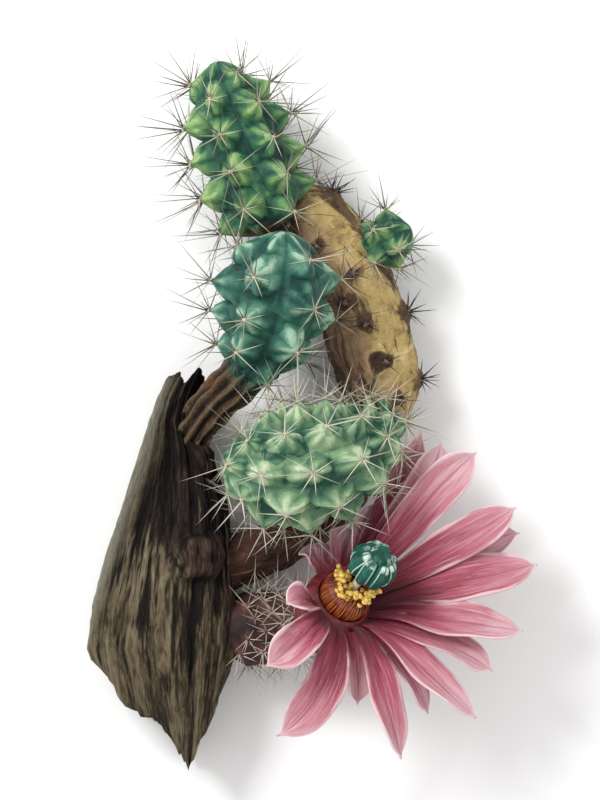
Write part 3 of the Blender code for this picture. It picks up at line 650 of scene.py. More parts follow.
def flesh_look(name, furrow, body, crest, painted_highlight, brown=None):
    """Green flesh: painted shade in the furrows and a painted highlight on the swellings, in angular washes
    of two greens.
    """
    look = Look(name)
    relief, along = look.layer("relief")
    wash = look.noise(110.0, detail=5.0, roughness=0.62)
    fine = look.noise(520.0, detail=3.0)
    cells = look.add("ShaderNodeTexVoronoi", {"Vector": look.place(), "Scale": 190.0}, "Color")
    facet = look.add("ShaderNodeSeparateColor", {0: cells})
    height = relief + wash.swing(1.25) + facet.swing(0.34)
    # Painted shade in the furrows rising to a painted highlight on the swellings, by the relief height
    colour = height.ramp((0.0, furrow), (0.22, body), (0.45, crest), (0.78, painted_highlight))
    deep = look.noise(70.0, detail=3.0, distortion=0.8)
    colour = colour.toward(furrow, deep.level(0.56, 0.70, 0.65))
    streak = look.noise(26.0, look.on_skin(18.0, 3.0))
    colour = colour.toward(furrow, streak.level(0.5, 0.75, 0.4))
    if brown:
        colour = colour.toward(brown, (along + wash.swing(0.15)).level(0.10, 0.02))
    look.bump(wash + fine * 0.4, 0.5, 0.5)
    shine = look.add("ShaderNodeMapRange", {"Value": wash, "To Min": 0.55, "To Max": 0.75})
    return look.finish(colour, shine, subsurface=0.05, specular=0.3)


def spine_look(name, dark, pale, tip):
    look = Look(name)
    along, shade = look.layer("skin")
    # For most spines the shade number is painted sky light by their way; for the thorns it is a random tone
    colour = look.mix(dark, pale, shade.level(0.25, 0.75))
    colour = colour.toward(tip, along.level(0.55, 1.0))
    colour = colour.toward(dark, look.noise(900.0, detail=2.0) * 0.35)
    return look.finish(colour, 0.45)


def grain_look(name, scale, bump, roughness, *stops, **finish):
    """Colours mingled as fine grain, such as felt or pollen."""
    look = Look(name)
    grain = look.noise(scale, detail=3.0)
    look.bump(grain, *bump)
    return look.finish(grain.ramp(*stops), roughness, **finish)


def felt_look(name, dark, pale):
    return grain_look(name, 1500.0, (0.8, 0.3), 0.9, (0.3, dark), (0.7, pale), sheen=0.4)


def throat_look():
    """The deep red skin of the ring under the tepals and of the stamens' cup."""
    reds = ((0.3, (0.05, 0.004, 0.006)), (0.7, (0.20, 0.018, 0.022)))
    return grain_look("tepal_base", 300.0, (0.4, 0.3), 0.5, *reds)


def trunk_look():
    """Old fibrous wood: near-black above, olive with dark flames below, pale along the left edge, and with
    painted shade in its furrows.
    """
    look = Look("trunk_bark")
    ridge, knob = look.layer("relief")
    along = look.layer("skin")[1]
    fibre = look.noise(6.0, look.on_skin(22.0, 2.6), detail=9.0, roughness=0.7, distortion=0.6)
    slot = look.noise(5.0, look.on_skin(9.0, 0.8), detail=3.0, roughness=0.5, distortion=0.2)
    fine = look.noise(14.0, look.on_skin(60.0, 5.0), detail=6.0, roughness=0.7)
    flame = look.noise(5.0, look.on_skin(8.0, 0.7), detail=5.0, roughness=0.6, distortion=0.3)
    patch = look.noise(45.0, detail=4.0, roughness=0.6, distortion=0.6)
    # Fibre and patches are the wood's own tone; the ridge height adds painted shade in the furrows
    tone = fibre * 0.85 + ridge * 0.30 + patch.swing(0.55)
    dark = tone.ramp((0.36, (0.003, 0.003, 0.003)), (0.56, (0.012, 0.009, 0.009)),
                     (0.70, (0.040, 0.028, 0.022)), (0.86, (0.13, 0.095, 0.065)))
    olive = tone.ramp((0.34, (0.016, 0.013, 0.009)), (0.48, (0.075, 0.058, 0.036)),
                      (0.62, (0.21, 0.165, 0.10)), (0.82, (0.37, 0.31, 0.20)))
    lower = (flame * 1.7 - along).level(0.40, 0.58)
    slant = look.coordinate(0) + look.coordinate(1) * -0.33
    left = (slant + patch.swing(0.022)).level(-0.0315, -0.0365, 0.8)
    colour = dark.toward(olive, look.maths("MAXIMUM", lower, left))
    colour = colour.toward((0.014, 0.010, 0.008), slot.level(0.57, 0.63, 0.85))
    burl = fibre.ramp((0.35, (0.022, 0.012, 0.009)), (0.50, (0.075, 0.042, 0.028)),
                      (0.65, (0.20, 0.14, 0.09)))
    colour = colour.toward(burl, knob.level(0.40, 0.75, 0.75))
    broken_ring = patch.level(0.38, 0.60, 0.7) * abs(knob - 0.42).level(0.14, 0.02)
    colour = colour.toward((0.006, 0.004, 0.003), broken_ring)
    colour = colour.toward((0.018, 0.011, 0.008), knob.level(0.90, 0.98))
    # Pale grey-olive along the far left edge
    left_edge_pale = (fibre * 0.6 + fine * 0.4).ramp((0.36, (0.07, 0.065, 0.045)), (0.49, (0.30, 0.29, 0.22)),
                                           (0.60, (0.50, 0.50, 0.40)))
    colour = colour.toward(left_edge_pale, (slant + fibre.swing(0.012)).level(-0.0345, -0.0375, 0.85))
    look.bump(fibre + fine * 0.5, 1.0, 1.6)
    return look.finish(colour, 0.88, specular=0.15)


def neck_look():
    """Brown bark with ochre spots and painted shade between its ribs, turning green where the shoot begins.
    """
    look = Look("neck_bark")
    ridge, along = look.layer("relief")
    fibre = look.noise(9.0, look.on_skin(20.0, 2.5), detail=7.0, roughness=0.65)
    # Fibre is the bark's own tone; the ridge height adds painted shade between the ribs
    tone = fibre * 0.65 + ridge * 0.4
    colour = tone.ramp((0.32, (0.010, 0.007, 0.005)), (0.50, (0.050, 0.030, 0.019)),
                       (0.66, (0.14, 0.092, 0.050)), (0.85, (0.30, 0.22, 0.13)))
    colour = colour.toward((0.20, 0.085, 0.03), look.noise(140.0, detail=3.0).level(0.58, 0.72, 0.5))
    colour = colour.toward((0.06, 0.14, 0.10), (along + fibre.swing(0.5)).level(0.72, 0.98))
    look.bump(fibre, 0.9, 0.9)
    return look.finish(colour, 0.8, specular=0.25)


def arch_look():
    """Corky tan skin with painted shade on its left and toward the floor, purplish-brown patches, cracks
    along it, a barky foot and a painted shadow at its far end.
    """
    look = Look("corky_stem")
    push, along = look.layer("relief")
    around = look.layer("skin")[0]
    patch = look.noise(1.0, look.on_skin(6.6, 7.0), detail=7.0, roughness=0.66, distortion=1.2)
    mottle = look.noise(240.0, detail=5.0, roughness=0.65)
    crack = look.noise(1.0, look.on_skin(38.0, 17.0), detail=8.0, roughness=0.7, distortion=0.5)
    band = look.noise(1.0, look.on_skin(9.0, 70.0), detail=6.0, roughness=0.65, distortion=0.8)
    tan = mottle.ramp((0.28, (0.235, 0.150, 0.060)), (0.5, (0.47, 0.34, 0.135)), (0.75, (0.66, 0.54, 0.27)))
    brown = mottle.ramp((0.3, (0.030, 0.017, 0.013)), (0.6, (0.105, 0.057, 0.036)),
                        (0.85, (0.24, 0.155, 0.09)))
    # Painted shade down the arch's left side, in pinkish-grey
    left_painted_shade = (around + patch.swing(0.30)).level(0.31, 0.17)
    colour = tan.toward((0.31, 0.185, 0.125), left_painted_shade * 0.8)
    # Painted shade toward the floor and on the lower left, added to the brown patches and the dark round the
    # pads
    near_floor = (0.0150 - look.coordinate(2)) * 16.0
    low_left = left_painted_shade * along.level(0.74, 0.50)
    patches_and_painted_shade = patch + near_floor + low_left * 0.10 + push * 0.28
    colour = colour.toward(brown, patches_and_painted_shade.level(0.46, 0.57, 0.92))
    colour = colour.toward((0.085, 0.045, 0.026), crack.level(0.56, 0.66, 0.8))
    colour = colour.toward((0.11, 0.062, 0.036), band.level(0.60, 0.68, 0.6))
    colour = colour.toward((0.045, 0.022, 0.016), (push + crack.swing(1.3)).level(0.62, 1.05, 0.7))
    bark = (crack * 0.5 + patch * 0.5).ramp((0.36, (0.012, 0.008, 0.007)), (0.50, (0.070, 0.032, 0.021)),
                                            (0.66, (0.22, 0.135, 0.085)))
    colour = colour.toward(bark, (along + patch.swing(0.10)).level(0.47, 0.38))
    # Painted shadow at the far end, where the upper shoot lies over it
    colour = colour.toward((0.045, 0.023, 0.016), (along + patch.swing(0.12)).level(0.90, 0.95))
    look.bump(mottle + crack * 0.9 + band, 0.8, 0.9)
    return look.finish(colour, 0.82, specular=0.2)


def tube_look():
    """Dark brown skin, rosy near the flower, with painted shade between its raised areoles."""
    look = Look("tube_skin")
    ridge, along = look.layer("relief")
    mottle = look.noise(160.0, detail=5.0, roughness=0.6)
    # The mottle is the skin's own tone; the relief adds painted light, lighter on the raised areoles and
    # darker between them
    tone = mottle * 0.8 + ridge * 0.3
    colour = tone.ramp((0.3, (0.016, 0.008, 0.008)), (0.5, (0.060, 0.022, 0.018)),
                       (0.7, (0.15, 0.06, 0.045)), (0.9, (0.28, 0.16, 0.10)))
    colour = colour.toward((0.22, 0.03, 0.045), along.level(0.70, 0.98, 0.7))
    look.bump(mottle, 0.7, 0.6)
    return look.finish(colour, 0.7, specular=0.3)


def tepal_look():
    """Crimson at the throat, rose along the blade with darker veins, a painted highlight at the edges, and
    pale at the tip.
    """
    look = Look("tepal")
    across, along = look.layer("skin")
    tint = look.layer("relief")[0]
    blade = look.add("ShaderNodeCombineXYZ", {0: across, 1: along, 2: tint * 40.0})
    veins = look.noise(2.6, look.stretched(blade, 30.0, 1.5), detail=6.0, roughness=0.62, distortion=0.2)
    broad = look.noise(1.6, look.stretched(blade, 4.0, 2.0), detail=3.0)
    length = along + veins.swing(0.55) + broad.swing(0.70) + tint.swing(0.35)
    colour = length.ramp((0.08, (0.065, 0.003, 0.008)), (0.30, (0.165, 0.010, 0.024)),
                         (0.47, (0.33, 0.052, 0.088)), (0.68, (0.48, 0.175, 0.220)),
                         (0.96, (0.66, 0.40, 0.44)))
    colour = colour.toward((0.30, 0.035, 0.075), veins.level(0.52, 0.64, 0.6))
    outer = along.level(0.22, 0.62)
    colour = colour.toward((0.80, 0.55, 0.60), veins.level(0.46, 0.37, 0.55) * outer)
    from_middle = abs(across - 0.5)
    # Painted highlight along the edges of the outer blade
    edge = (from_middle + broad.swing(0.35)).level(0.41, 0.51, 0.62)
    colour = colour.toward((0.86, 0.68, 0.70), edge * outer)
    colour = colour.toward((0.86, 0.66, 0.66), along.level(0.93, 1.0, 0.5))
    midrib = from_middle.level(0.05, 0.0, 0.5)
    colour = colour.toward((0.28, 0.03, 0.07), midrib)
    look.bump(veins - midrib, 0.6, 0.45)
    return look.finish(colour, 0.55, subsurface=0.08, sheen=0.1, specular=0.3)


def filament_look():
    """Deep red at the root and orange at the tip, each filament a little different."""
    look = Look("filament")
    along, shade = look.layer("skin")
    colour = along.ramp((0.0, (0.085, 0.004, 0.004)), (0.35, (0.26, 0.022, 0.008)),
                        (0.7, (0.50, 0.13, 0.025)), (1.0, (0.66, 0.32, 0.07)))
    colour = colour.toward((0.62, 0.25, 0.05), shade.level(0.4, 0.9, 0.6))
    colour = colour.toward((0.09, 0.004, 0.004), shade.level(0.4, 0.1, 0.6))
    colour = colour.toward((0.20, 0.015, 0.008), look.noise(800.0, detail=2.0) * 0.3)
    return look.finish(colour, 0.5)


def stigma_look():
    """Dark velvety green, each lobe with a painted highlight as a pale line round its outer face."""
    look = Look("stigma_skin")
    across, along = look.layer("skin")
    velvet = look.noise(700.0)
    wash = look.noise(170.0, detail=3.0)
    colour = (velvet * 0.5 + wash * 0.5).ramp((0.3, (0.001, 0.022, 0.014)), (0.5, (0.004, 0.075, 0.050)),
                                              (0.75, (0.020, 0.17, 0.115)))
    beside = look.maths("MINIMUM", across, 1.0 - across)
    outline = look.maths("MAXIMUM", beside / 0.13, along / 0.86)
    # Painted highlight: a pale line round each lobe's outer face
    line = abs(outline - 1.0).level(0.13, 0.05, 0.85) * wash.level(0.40, 0.55)
    colour = colour.toward((0.66, 0.80, 0.70), line)
    look.bump(velvet, 0.8, 0.25)
    return look.finish(colour, 0.6, specular=0.3)


def build_trunk(depth, sway):
    """The woody base, with the furrows of its solid, finer ones between them and two torn ends."""
    edges = np.array(TRUNK_EDGES)[::-1]
    angle = bearings(TRUNK_GRID[0])
    ring = np.linspace(0.0, 1.0, TRUNK_GRID[1])[:, None]
    close = np.clip(np.minimum(ring, 1.0 - ring) / TRUNK_ENDS, 0.04, 1.0)
    t = np.clip((ring - TRUNK_ENDS) / (1.0 - 2.0 * TRUNK_ENDS), 0.0, 1.0)
    sideways = np.cos(angle)
    upright = np.sin(angle)
    edge = grid(angle * 5.0, 0.0, 0.0)
    splinter = (1.5 * rough(edge, 0.8, 3) + 1.3 * rough(edge, 0.25, 4)) * close
    top = np.interp(sideways * close, *np.array(TRUNK_TOP).T) + 0.4 * splinter
    end = np.interp(sideways * close, *np.array(TRUNK_END).T) + splinter
    across_end = grid(sideways * close * 12.0, upright * close * 5.0, 0.0)
    torn = 1.6 * rough(across_end, 1.0, 8) + 0.8 * rough(across_end, 0.4, 9)
    hollow = (2.6 + torn) * (1.0 - close)
    y = end + (top - end) * t + np.where(ring < 0.5, hollow, -hollow)
    left, right, low, high = [np.interp(y, edges[:, 0], edges[:, k]) for k in range(1, 5)]
    depth = np.array(depth)
    sway = np.array(sway)
    furrow = TRUNK_FURROW * between_columns(
        angle, TRUNK_COLUMNS, lambda k: depth[k] * (0.6 + 0.4 * np.sin(sway[k] + 9.0 * t))
    )
    fibre = grid(angle * 17.0, t * 5.0, 0.0)
    fine = 0.75 * rough(fibre * [1.0, 0.6, 0.0], 0.9, 5) + 0.35 * rough(fibre * [1.0, 2.2, 0.0], 0.3, 6)
    cracks = np.clip(rough(fibre * [0.55, 0.25, 0.0], 1.0, 12) - 0.35, 0.0, 1.0)
    furrow = (furrow + fine - 0.9 * cracks) * close
    wide = ((right - left) / 2.0 + 0.5 * furrow) * close
    tall = ((high - low) / 2.0 + furrow) * close
    x = (left + right) / 2.0 + wide * signed_power(sideways, 0.85)
    z = (low + high) / 2.0 + tall * signed_power(upright, 0.8)
    points = grid(x, y, z)
    knobs = np.zeros(points.shape[:2])
    for *middle, reach, height in TRUNK_KNOBS:
        away = np.linalg.norm(points - middle, axis=-1) / reach
        away = away * (1.0 + 0.30 * rough(points, 5.0, 14) + 0.16 * rough(points, 1.8, 15))
        knobs = np.maximum(knobs, np.clip(1.0 - 0.75 * away * away, 0.0, 1.0))
        push = height * np.maximum(0.0, 1.0 - away * away)
        push = push - 1.1 * bell(away, 0.0, 0.06) + 0.6 * bell(away, 0.62, 0.02)
        points = points + push[..., None] * [0.5, 0.0, 0.85]
    points[..., 2] = np.maximum(0.0, points[..., 2])
    relief = np.clip(0.5 + furrow / 3.0, 0.0, 1.0)
    flat = 1.0 - np.clip((close - 0.85) / 0.15, 0.0, 1.0)
    across_uv = angle / TAU * (1.0 - flat) + flat * (0.5 + 0.35 * sideways * close)
    along_uv = t + flat * 0.25 * upright * close
    layers = {"skin": grid(across_uv, along_uv), "relief": grid(relief, knobs)}
    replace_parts(skin("trunk_wood", points, layers, trunk_look()), "trunk")


def build_neck(notch):
    """The woody neck, with the ribs and notches of its solid and finer bark."""
    angle, t, centre, around, radius = grid_round(NECK_PATH, *NECK_GRID)
    place = angle / TAU * NECK_COLUMNS
    ribs = -0.75 * np.cos(math.pi * place)
    column = np.round(place).astype(int) % NECK_COLUMNS
    ripple = 0.35 * np.sin(np.array(notch)[column] + 24.0 * t)
    fine = 0.3 * rough(grid(angle * 12.0, t * 12.0, 0.0), 0.8, 2)
    reach = (radius + ribs + ripple + fine) * rounded(t, 0.08, 0.10)
    relief = np.clip(0.5 + (ribs + fine) / 2.2, 0.0, 1.0)
    layers = {"skin": grid(angle / TAU, t), "relief": grid(relief, t)}
    neck = skin("neck_wood", centre + around * reach[..., None], layers, neck_look())
    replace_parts(neck, "neck_stem")


def arch_areoles():
    """The thorn areoles of the arching stem: on its visible side, and turned half round below it."""
    found = []
    centre, _, side, up, radius = Centreline(ARCH_PATH).frames(np.linspace(0.3, 0.99, 120))
    for x, y in ARCH_AREOLES:
        k = np.argmin(np.hypot(centre[:, 0] - x, centre[:, 1] - y))
        offset = np.array([x, y, 0.0]) - centre[k] * [1, 1, 0]
        angle = math.acos(max(-0.95, min(0.95, offset @ side[k] / radius[k])))
        for turn in (angle, -angle):
            out = spokes(side[k], up[k], turn)
            point = centre[k] + out * radius[k]
            if point[2] > 2.5:
                found.append((point, out))
    return found


def build_arch(swell, areoles):
    """The arching stem, pushed out round its areoles, with one branch scar and a barky foot."""
    angle, t, centre, around, radius = grid_round(ARCH_PATH, *ARCH_GRID)
    swell = np.array(swell)
    waves = between_columns(angle, ARCH_COLUMNS, lambda k: swell[k] * np.sin(21.0 * t + k))
    points = centre + around * ((radius + waves) * rounded(t, 0.04, 0.06))[..., None]
    ragged = 1.0 + 0.25 * rough(points, 3.0, 21) + 0.15 * rough(points, 1.2, 22)
    push = np.zeros(points.shape[:2])
    for spot, _ in areoles:
        away = np.linalg.norm(points - spot, axis=-1) * ragged
        push += 1.5 * np.maximum(0.0, 1.0 - away / 3.6) + 0.35 * bell(away, 1.4, 0.2)
    away = np.linalg.norm(points - ARCH_SCAR, axis=-1) / ARCH_SCAR_RADIUS * ragged
    scar = 0.9 * bell(away, 1.0, 0.1) - 0.8 * bell(away, 0.0, 0.25)
    lumps = 0.35 * rough(points, 5.0, 1) + 0.26 * rough(points, 1.8, 2) + 0.12 * rough(points, 0.7, 3)
    plates = grid(angle * 4.0, t * 26.0, 0.0)
    barky = 0.6 * rough(plates, 0.9, 4) + 0.3 * rough(plates, 0.35, 5)
    lumps = lumps + np.clip((0.46 - t) / 0.06, 0.0, 1.0) * barky
    points = points + around * (push + scar + lumps)[..., None]
    points[..., 2] = np.maximum(0.0, points[..., 2])
    dark = push / 1.6 + 0.85 * bell(away, 0.55, 0.05) + 0.25 * bell(away, 0.0, 0.9)
    layers = {"skin": grid(angle / TAU, t), "relief": grid(np.clip(dark, 0.0, 1.0), t)}
    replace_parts(skin("arch_skin", points, layers, arch_look()), "arched_stem")


def build_tube():
    """The bristly tube, raised at its areoles, which it returns."""
    angle, t, centre, around, radius = grid_round(TUBE_PATH, *TUBE_GRID)
    points = centre + around * (radius * rounded(t, 0.10, 0.05))[..., None]
    line = Centreline(TUBE_PATH)
    areoles = []
    push = np.zeros(points.shape[:2])
    for k in range(TUBE_AREOLES):
        middle, ahead, side, up, reach = line.frames(0.16 + 0.015 * k)
        out = spokes(side, up, k * GOLDEN_ANGLE)
        spot = middle + out * reach
        way = unit(out + 0.3 * ahead)
        areoles.append((spot + way * 0.6, way))
        push = np.maximum(push, np.clip(1.0 - np.linalg.norm(points - spot, axis=-1) / 2.6, 0.0, 1.0))
    points = points + around * (0.9 * push + 0.15 * rough(points, 1.2, 4))[..., None]
    layers = {"skin": grid(angle / TAU, t), "relief": grid(push, t)}
    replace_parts(skin("tube_skin_body", points, layers, tube_look()), "flower_tube")
    return areoles


def flower_axes():
    """Two directions across the flower: down and out, and sideways."""
    down = FACING * [1.0, 1.0, -1.0]
    first = unit(down - FACING * (down @ FACING))
    return first, np.cross(FACING, first)


def flower_spoke(bearing):
    return spokes(*flower_axes(), bearing)


def tepal_points(tip, width, fold, curl, swing, layer):
    """Points over one tepal, along by across."""
    first, second = flower_axes()
    reach = np.array(tip, float)
    outward = reach - FACING * (reach @ FACING)
    bearing = math.atan2(outward @ second, outward @ first)
    spoke = flower_spoke(bearing)
    root = THROAT + spoke * RING_RADIUS + FACING * (-0.6 - 0.9 * layer)
    end = THROAT + reach
    span = np.linalg.norm(end - root)
    rise = min(0.65, max(0.05, 0.65 + 0.045 * tip[2]))
    lead = root + (FACING * rise + spoke * 0.45) * span * 0.32
    back = end - (unit(reach) * 0.85 - FACING * 0.25 + spoke * 0.1) * span * 0.3
    back = back + unit(np.cross(reach, FACING)) * swing
    end = end + FACING * curl
    t = np.linspace(0.0, 1.0, TEPAL_ALONG + 1)[:, None]
    s = 1.0 - t
    centre = root * s**3 + lead * 3 * s * s * t + back * 3 * s * t * t + end * t**3
    slope = (lead - root) * 3 * s * s + (back - lead) * 6 * s * t + (end - back) * 3 * t * t
    wide = unit(np.cross(slope, FACING))
    face = unit(np.cross(wide, slope))
    grow = np.sin(np.minimum(1.0, t / TEPAL_WIDEST) * math.pi / 2) ** 1.3
    grow = TEPAL_ROOT_WIDTH + (1.0 - TEPAL_ROOT_WIDTH) * grow
    shrink = 1.0 - np.clip((t - TEPAL_WIDEST) / (0.975 - TEPAL_WIDEST), 0.0, 1.0) ** 2.6
    point = 0.15 * np.clip((1.0 - t) / 0.05, 0.02, 1.0)
    half = width / 2 * grow * np.maximum(point, shrink)
    u = np.linspace(-1.0, 1.0, TEPAL_ACROSS + 1)[None, :]
    phase = bearing * 3.0
    lift = fold * half * u * u + TEPAL_WAVE * half * np.sin(9.0 * t + 2.0 * layer) * u
    lift = lift + 0.10 * half * np.sin(17.0 * t + phase) * np.abs(u) ** 3
    lift = lift + (0.16 * np.cos(u * 9.5 + phase) - 0.35 * bell(u, 0.0, 0.0256)) * np.sin(math.pi * t)
    return centre[:, None] + wide[:, None] * (half * u)[..., None] + face[:, None] * lift[..., None]


def build_tepals():
    """Every tepal as its own thin curved blade, with the ring that they stand on."""
    rng = random.Random(SEED + 3)
    rows, columns = TEPAL_ALONG + 1, TEPAL_ACROSS + 1
    index = np.arange(rows * columns).reshape(rows, columns)
    quads = np.stack([index[:-1, :-1], index[:-1, 1:], index[1:, 1:], index[1:, :-1]], axis=-1).reshape(-1, 4)
    across_along = grid(np.linspace(0.0, 1.0, columns), np.linspace(0.0, 1.0, rows)[:, None]).reshape(-1, 2)
    points = []
    faces = []
    tints = []
    for k, (right, up, out, *rest) in enumerate(TEPALS):
        points.append(tepal_points((right, up, out), *rest).reshape(-1, 3))
        faces.append(quads + k * rows * columns)
        tints.append(np.full((rows * columns, 2), rng.uniform(0.2, 0.8)))
    layers = {"skin": np.tile(across_along, (len(TEPALS), 1)), "relief": np.vstack(tints)}
    quads = np.vstack(faces).tolist()
    tepals = mesh_object("tepal_blades", np.vstack(points), quads, layers, tepal_look())
    solid = tepals.modifiers.new("thickness", "SOLIDIFY")
    solid.thickness = TEPAL_THICK * MM
    solid.offset = 0.0
    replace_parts(tepals, "tepals")
    turned("tepal_ring", TEPAL_RING, 64)


def turned(name, profile, columns):
    """A body turned about the flower's axis from pairs of radius and height."""
    hole = profile[0][0] > 0.0
    rows = np.array(profile + profile[:1] if hole else profile, float)
    fine = np.linspace(0, len(rows) - 1, 6 * len(rows))
    radius, height = [np.interp(fine, np.arange(len(rows)), rows[:, k])[:, None, None] for k in (0, 1)]
    angle = bearings(columns)
    points = THROAT + flower_spoke(angle) * radius + FACING * height
    faces = ring_quads(len(fine), columns)[0]
    pairs = grid(angle / TAU, np.linspace(0, 1, len(fine))[:, None]).reshape(-1, 2)
    obj = mesh_object(name, points.reshape(-1, 3), faces, {"skin": pairs}, throat_look())
    builder = bmesh.new()
    builder.from_mesh(obj.data)
    bmesh.ops.remove_doubles(builder, verts=builder.verts, dist=1e-6)
    bmesh.ops.recalc_face_normals(builder, faces=builder.faces)
    builder.to_mesh(obj.data)
    builder.free()
    obj.data.shade_smooth()
    return obj


def build_stamens():
    """A dense barrel of filaments that bow out and in again, and loose ones with anthers on top of it."""
    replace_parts(turned("stamen_cup", STAMEN_BARREL, 48), "stamens")
    across = flower_axes()[1]
    rng = random.Random(SEED + 5)
    filaments = []
    for ring, count in enumerate(FILAMENT_RINGS):
        for k in range(count):
            spoke = flower_spoke((k + 0.5 * ring) * TAU / count + rng.uniform(-0.02, 0.02))
            root = THROAT + spoke * (5.5 - 0.7 * ring) + FACING * (0.2 + 0.5 * ring)
            way = unit(FACING + spoke * (0.70 - 0.10 * ring))
            long = rng.uniform(6.6, 7.8) + 0.5 * ring
            filaments.append((root, way, long, 0.30, -spoke * rng.uniform(0.58, 0.72), rng.random()))
    anthers = []
    for k in range(ANTHERS):
        spoke = flower_spoke(k * GOLDEN_ANGLE)
        near = 1.9 + 2.9 * math.sqrt((k % 11) / 10)
        root = THROAT + spoke * near + FACING * 4.0
        way = unit(FACING + spoke * rng.uniform(-0.05, 0.25) + across * rng.uniform(-0.1, 0.1))
        long = rng.uniform(2.6, 6.0)
        filaments.append((root, way, long, 0.24, spoke * 0.0, rng.uniform(0.5, 1.0)))
        anthers.append((root + way * long, unit(way + spoke * rng.uniform(-0.5, 0.5))))
    bristles("filaments", filaments, filament_look(), sides=5, steps=6)
    pollen = ((0.3, (0.46, 0.24, 0.03)), (0.6, (0.82, 0.58, 0.14)), (0.85, (0.93, 0.80, 0.40)))
    cushions("anthers", anthers, 0.72, 7, grain_look("anther", 1400.0, (0.8, 0.2), 0.8, *pollen))


def tube_along(path, radii, columns, out):
    """Rings of points round a path, of which the first column faces the way out."""
    slope = unit(np.gradient(path, axis=0))
    facing = unit(out - slope * (slope @ out)[:, None])
    side = np.cross(slope, facing)
    around = spokes(facing[:, None], side[:, None], bearings(columns))
    return path[:, None] + around * radii[:, None, None]


def build_style():
    t = np.linspace(0.0, 1.0, 24)
    path = THROAT + FACING * (2.6 + t[:, None] * (STIGMA_REACH - STIGMA_CORE - 2.6))
    points = tube_along(path, 1.1 + 0.05 * np.sin(9.0 * t), 24, flower_axes()[0])
    cream = ((0.3, (0.50, 0.42, 0.30)), (0.7, (0.80, 0.76, 0.62)))
    look = grain_look("style_skin", 300.0, (0.3, 0.2), 0.45, *cream, subsurface=0.1)
    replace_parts(skin("style_stalk", points, {"skin": grid(t, t[:, None])}, look), "style")


def build_stigma():
    """The closed bud of velvety lobes: an outer ring that bows out and an inner one that stands straight."""
    centre = THROAT + FACING * STIGMA_REACH
    look = stigma_look()
    t = np.linspace(0.0, 1.0, 30)[:, None]
    half = 2.0 * t - 1.0
    swell = np.sqrt(np.clip(1.0 - half[:, 0] ** 4, 0.0, 1.0))
    lobes = []
    for ring, (count, near, height, half_length, lean) in enumerate(STIGMA_LOBES):
        for k in range(count):
            spoke = flower_spoke(k * TAU / count)
            rise = height + half * (half_length - STIGMA_LOBE_RADIUS * 0.6)
            bow = near * (1.0 - 0.35 * half**2) - lean * rise
            sway = 0.5 * np.sin(3.0 * t + 2.1 * k) * t
            path = centre + FACING * rise + spoke * bow + np.cross(FACING, spoke) * sway
            points = tube_along(path, STIGMA_LOBE_RADIUS * swell + 0.05, 24, spoke)
            pairs = grid(bearings(24) / TAU, t)
            lobes.append(skin(f"stigma_lobe_{ring}_{k}", points, {"skin": pairs}, look))
    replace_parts(lobes[0], "stigma")


def build_floor():
    mesh = bpy.data.meshes.new("floor")
    square = ((-1, -1), (1, -1), (1, 1), (-1, 1))
    corners = [(x * FLOOR_HALF, y * FLOOR_HALF, FLOOR_HEIGHT) for x, y in square]
    mesh.from_pydata(corners, [], [(0, 1, 2, 3)])
    floor = bpy.data.objects.new("floor", mesh)
    bpy.context.scene.collection.objects.link(floor)
    mesh.materials.append(Look("floor").finish((0.92, 0.92, 0.915), 0.9, specular=0.1))


def build_lights():
    """A white surround, and two soft lamps that face the middle."""
    world = bpy.data.worlds.new("studio")
    bpy.context.scene.world = world
    world.use_nodes = True
    background = world.node_tree.nodes["Background"]
    background.inputs[0].default_value = (1.0, 1.0, 1.0, 1.0)
    background.inputs[1].default_value = SURROUND
    for name, place, size, power in LAMPS:
        light = bpy.data.lights.new(name, "AREA")
        light.size = size
        light.energy = power
        lamp = bpy.data.objects.new(name, light)
        lamp.location = place
        lamp.rotation_euler = Vector(place).to_track_quat("Z", "Y").to_euler()
        bpy.context.scene.collection.objects.link(lamp)
    bpy.context.scene.view_settings.view_transform = "Standard"
    bpy.context.scene.view_settings.look = "None"


def build_camera():
    """A camera that looks straight down, far enough away to flatten the view as a plate does."""
    data = bpy.data.cameras.new("camera")
    data.sensor_fit = "VERTICAL"
    data.sensor_height = SENSOR
    data.lens = SENSOR * CAMERA_AWAY / VIEW_HEIGHT
    data.clip_end = 10.0
    camera = bpy.data.objects.new("camera", data)
    camera.location = (VIEW_MIDDLE[0] * MM, VIEW_MIDDLE[1] * MM, (CAMERA_AWAY + 15.0) * MM)
    bpy.context.scene.collection.objects.link(camera)
    bpy.context.scene.camera = camera


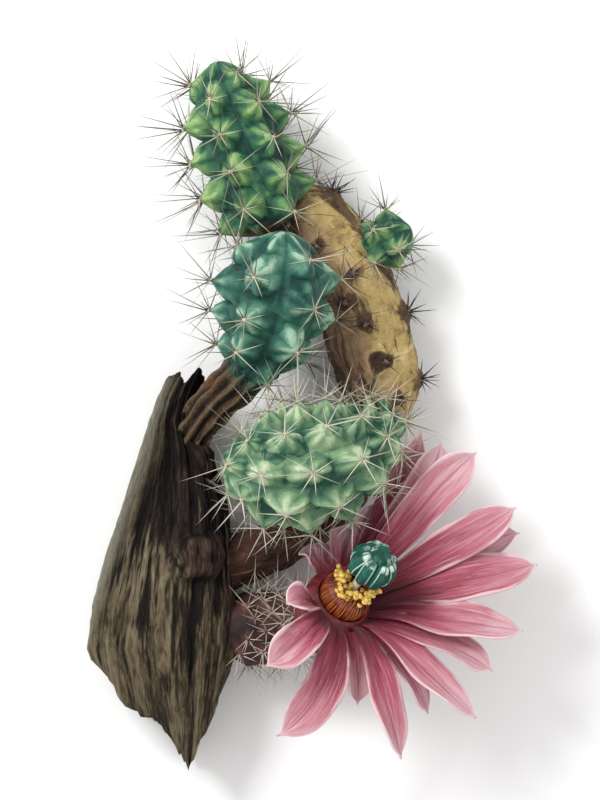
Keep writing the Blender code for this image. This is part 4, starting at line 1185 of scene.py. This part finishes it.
def build_shoots(felt):
    """The four green shoots, each with its areoles and spines."""
    dark_spine = spine_look("dark_spine", (0.055, 0.040, 0.034), (0.66, 0.60, 0.46), (0.10, 0.07, 0.055))
    pale_spine = spine_look("pale_spine", (0.16, 0.13, 0.095), (0.74, 0.70, 0.58), (0.45, 0.39, 0.30))
    # Name, path, ribs with rows, height and turn, slot, areole spines, spine length, thickness and spread,
    # shade of the spines by their way, with painted sky light, and their look, colours from the painted
    # shade of the furrows through body and crest to the painted highlight, and the brown of an old base
    shoots = (
        ("upper", UPPER_PATH, (7, 5, 0.42, 0.35), "green_flesh", (8, 2), 12.5, 0.17, (48.0, 84.0),
         painted_sky_light, dark_spine,
         ((0.004, 0.042, 0.030), (0.029, 0.118, 0.058), (0.115, 0.240, 0.085), (0.285, 0.425, 0.170)),
         (0.07, 0.035, 0.02)),
        ("middle", MIDDLE_PATH, (6, 4, 0.38, 0.15), "blue_flesh", (8, 2), 11.5, 0.17, (48.0, 84.0),
         painted_sky_light, dark_spine,
         ((0.002, 0.036, 0.028), (0.016, 0.090, 0.063), (0.062, 0.180, 0.122), (0.300, 0.460, 0.330)),
         None),
        ("lower", LOWER_PATH, (10, 7, 0.32, 0.2), "pale_flesh", (7, 1), 10.5, 0.17, (45.0, 82.0),
         pale_with_painted_sky_light, pale_spine,
         ((0.012, 0.066, 0.042), (0.078, 0.178, 0.098), (0.195, 0.315, 0.168), (0.450, 0.545, 0.345)),
         (0.10, 0.06, 0.03)),
        ("side", SIDE_PATH, (6, 2, 0.36, 0.0), "green_flesh", (8, 1), 9.5, 0.16, (35.0, 75.0),
         painted_sky_light, dark_spine,
         ((0.004, 0.045, 0.028), (0.035, 0.120, 0.055), (0.140, 0.250, 0.100), (0.320, 0.430, 0.190)),
         None),
    )
    for k, (name, path, form, slot, *spined, greens, brown) in enumerate(shoots):
        counts, length, thick, spread, shade, spine = spined
        shoot = Shoot(path, form)
        flesh = flesh_look(f"{name}_flesh", *greens, brown=brown)
        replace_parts(shoot.build(f"{name}_flesh", 10 + 3 * k, flesh), f"{name}_shoot")
        places = shoot.areoles()
        cushions(f"{name}_areoles", places, 0.62, k, felt)
        spines = tuft(places, random.Random(100 + k), *counts, length, thick, spread, shade)
        bristles(f"{name}_spines", spines, spine)
    return pale_spine


def build_thorns(areoles):
    """The dark felt and thorns of the arching stem."""
    raised = [(spot + way * 1.3, way) for spot, way in areoles]
    felt = felt_look("thorn_felt", (0.06, 0.035, 0.025), (0.24, 0.17, 0.12))
    cushions("arch_areoles", raised, 0.8, 9, felt)
    thorn = spine_look("thorn", (0.020, 0.012, 0.012), (0.20, 0.14, 0.10), (0.035, 0.022, 0.02))
    thorns = tuft(raised, random.Random(200), 5, 1, 7.0, 0.22, (30.0, 72.0), dark_shade)
    bristles("arch_thorns", thorns, thorn)


def main():
    build_camera()
    build_lights()
    build_floor()
    rng = random.Random(SEED)
    depth = [rng.uniform(0.35, 1.0) * (1 if k % 2 else -1) for k in range(TRUNK_COLUMNS)]
    sway = [rng.uniform(0.0, TAU) for _ in range(TRUNK_COLUMNS)]
    notch = [rng.uniform(0.0, TAU) for _ in range(NECK_COLUMNS)]
    swell = [rng.uniform(-0.35, 0.35) for _ in range(ARCH_COLUMNS)]
    build_trunk(depth, sway)
    build_neck(notch)
    thorn_places = arch_areoles()
    build_arch(swell, thorn_places)
    tube_places = build_tube()
    pale_spine = build_shoots(felt_look("areole_felt", (0.22, 0.17, 0.11), (0.60, 0.54, 0.40)))
    build_thorns(thorn_places)
    tube_spines = tuft(tube_places, random.Random(300), 6, 1, 8.5, 0.16, (25.0, 70.0), pale_with_painted_sky_light)
    bristles("tube_spines", tube_spines, pale_spine)
    build_tepals()
    build_stamens()
    build_style()
    build_stigma()


main()
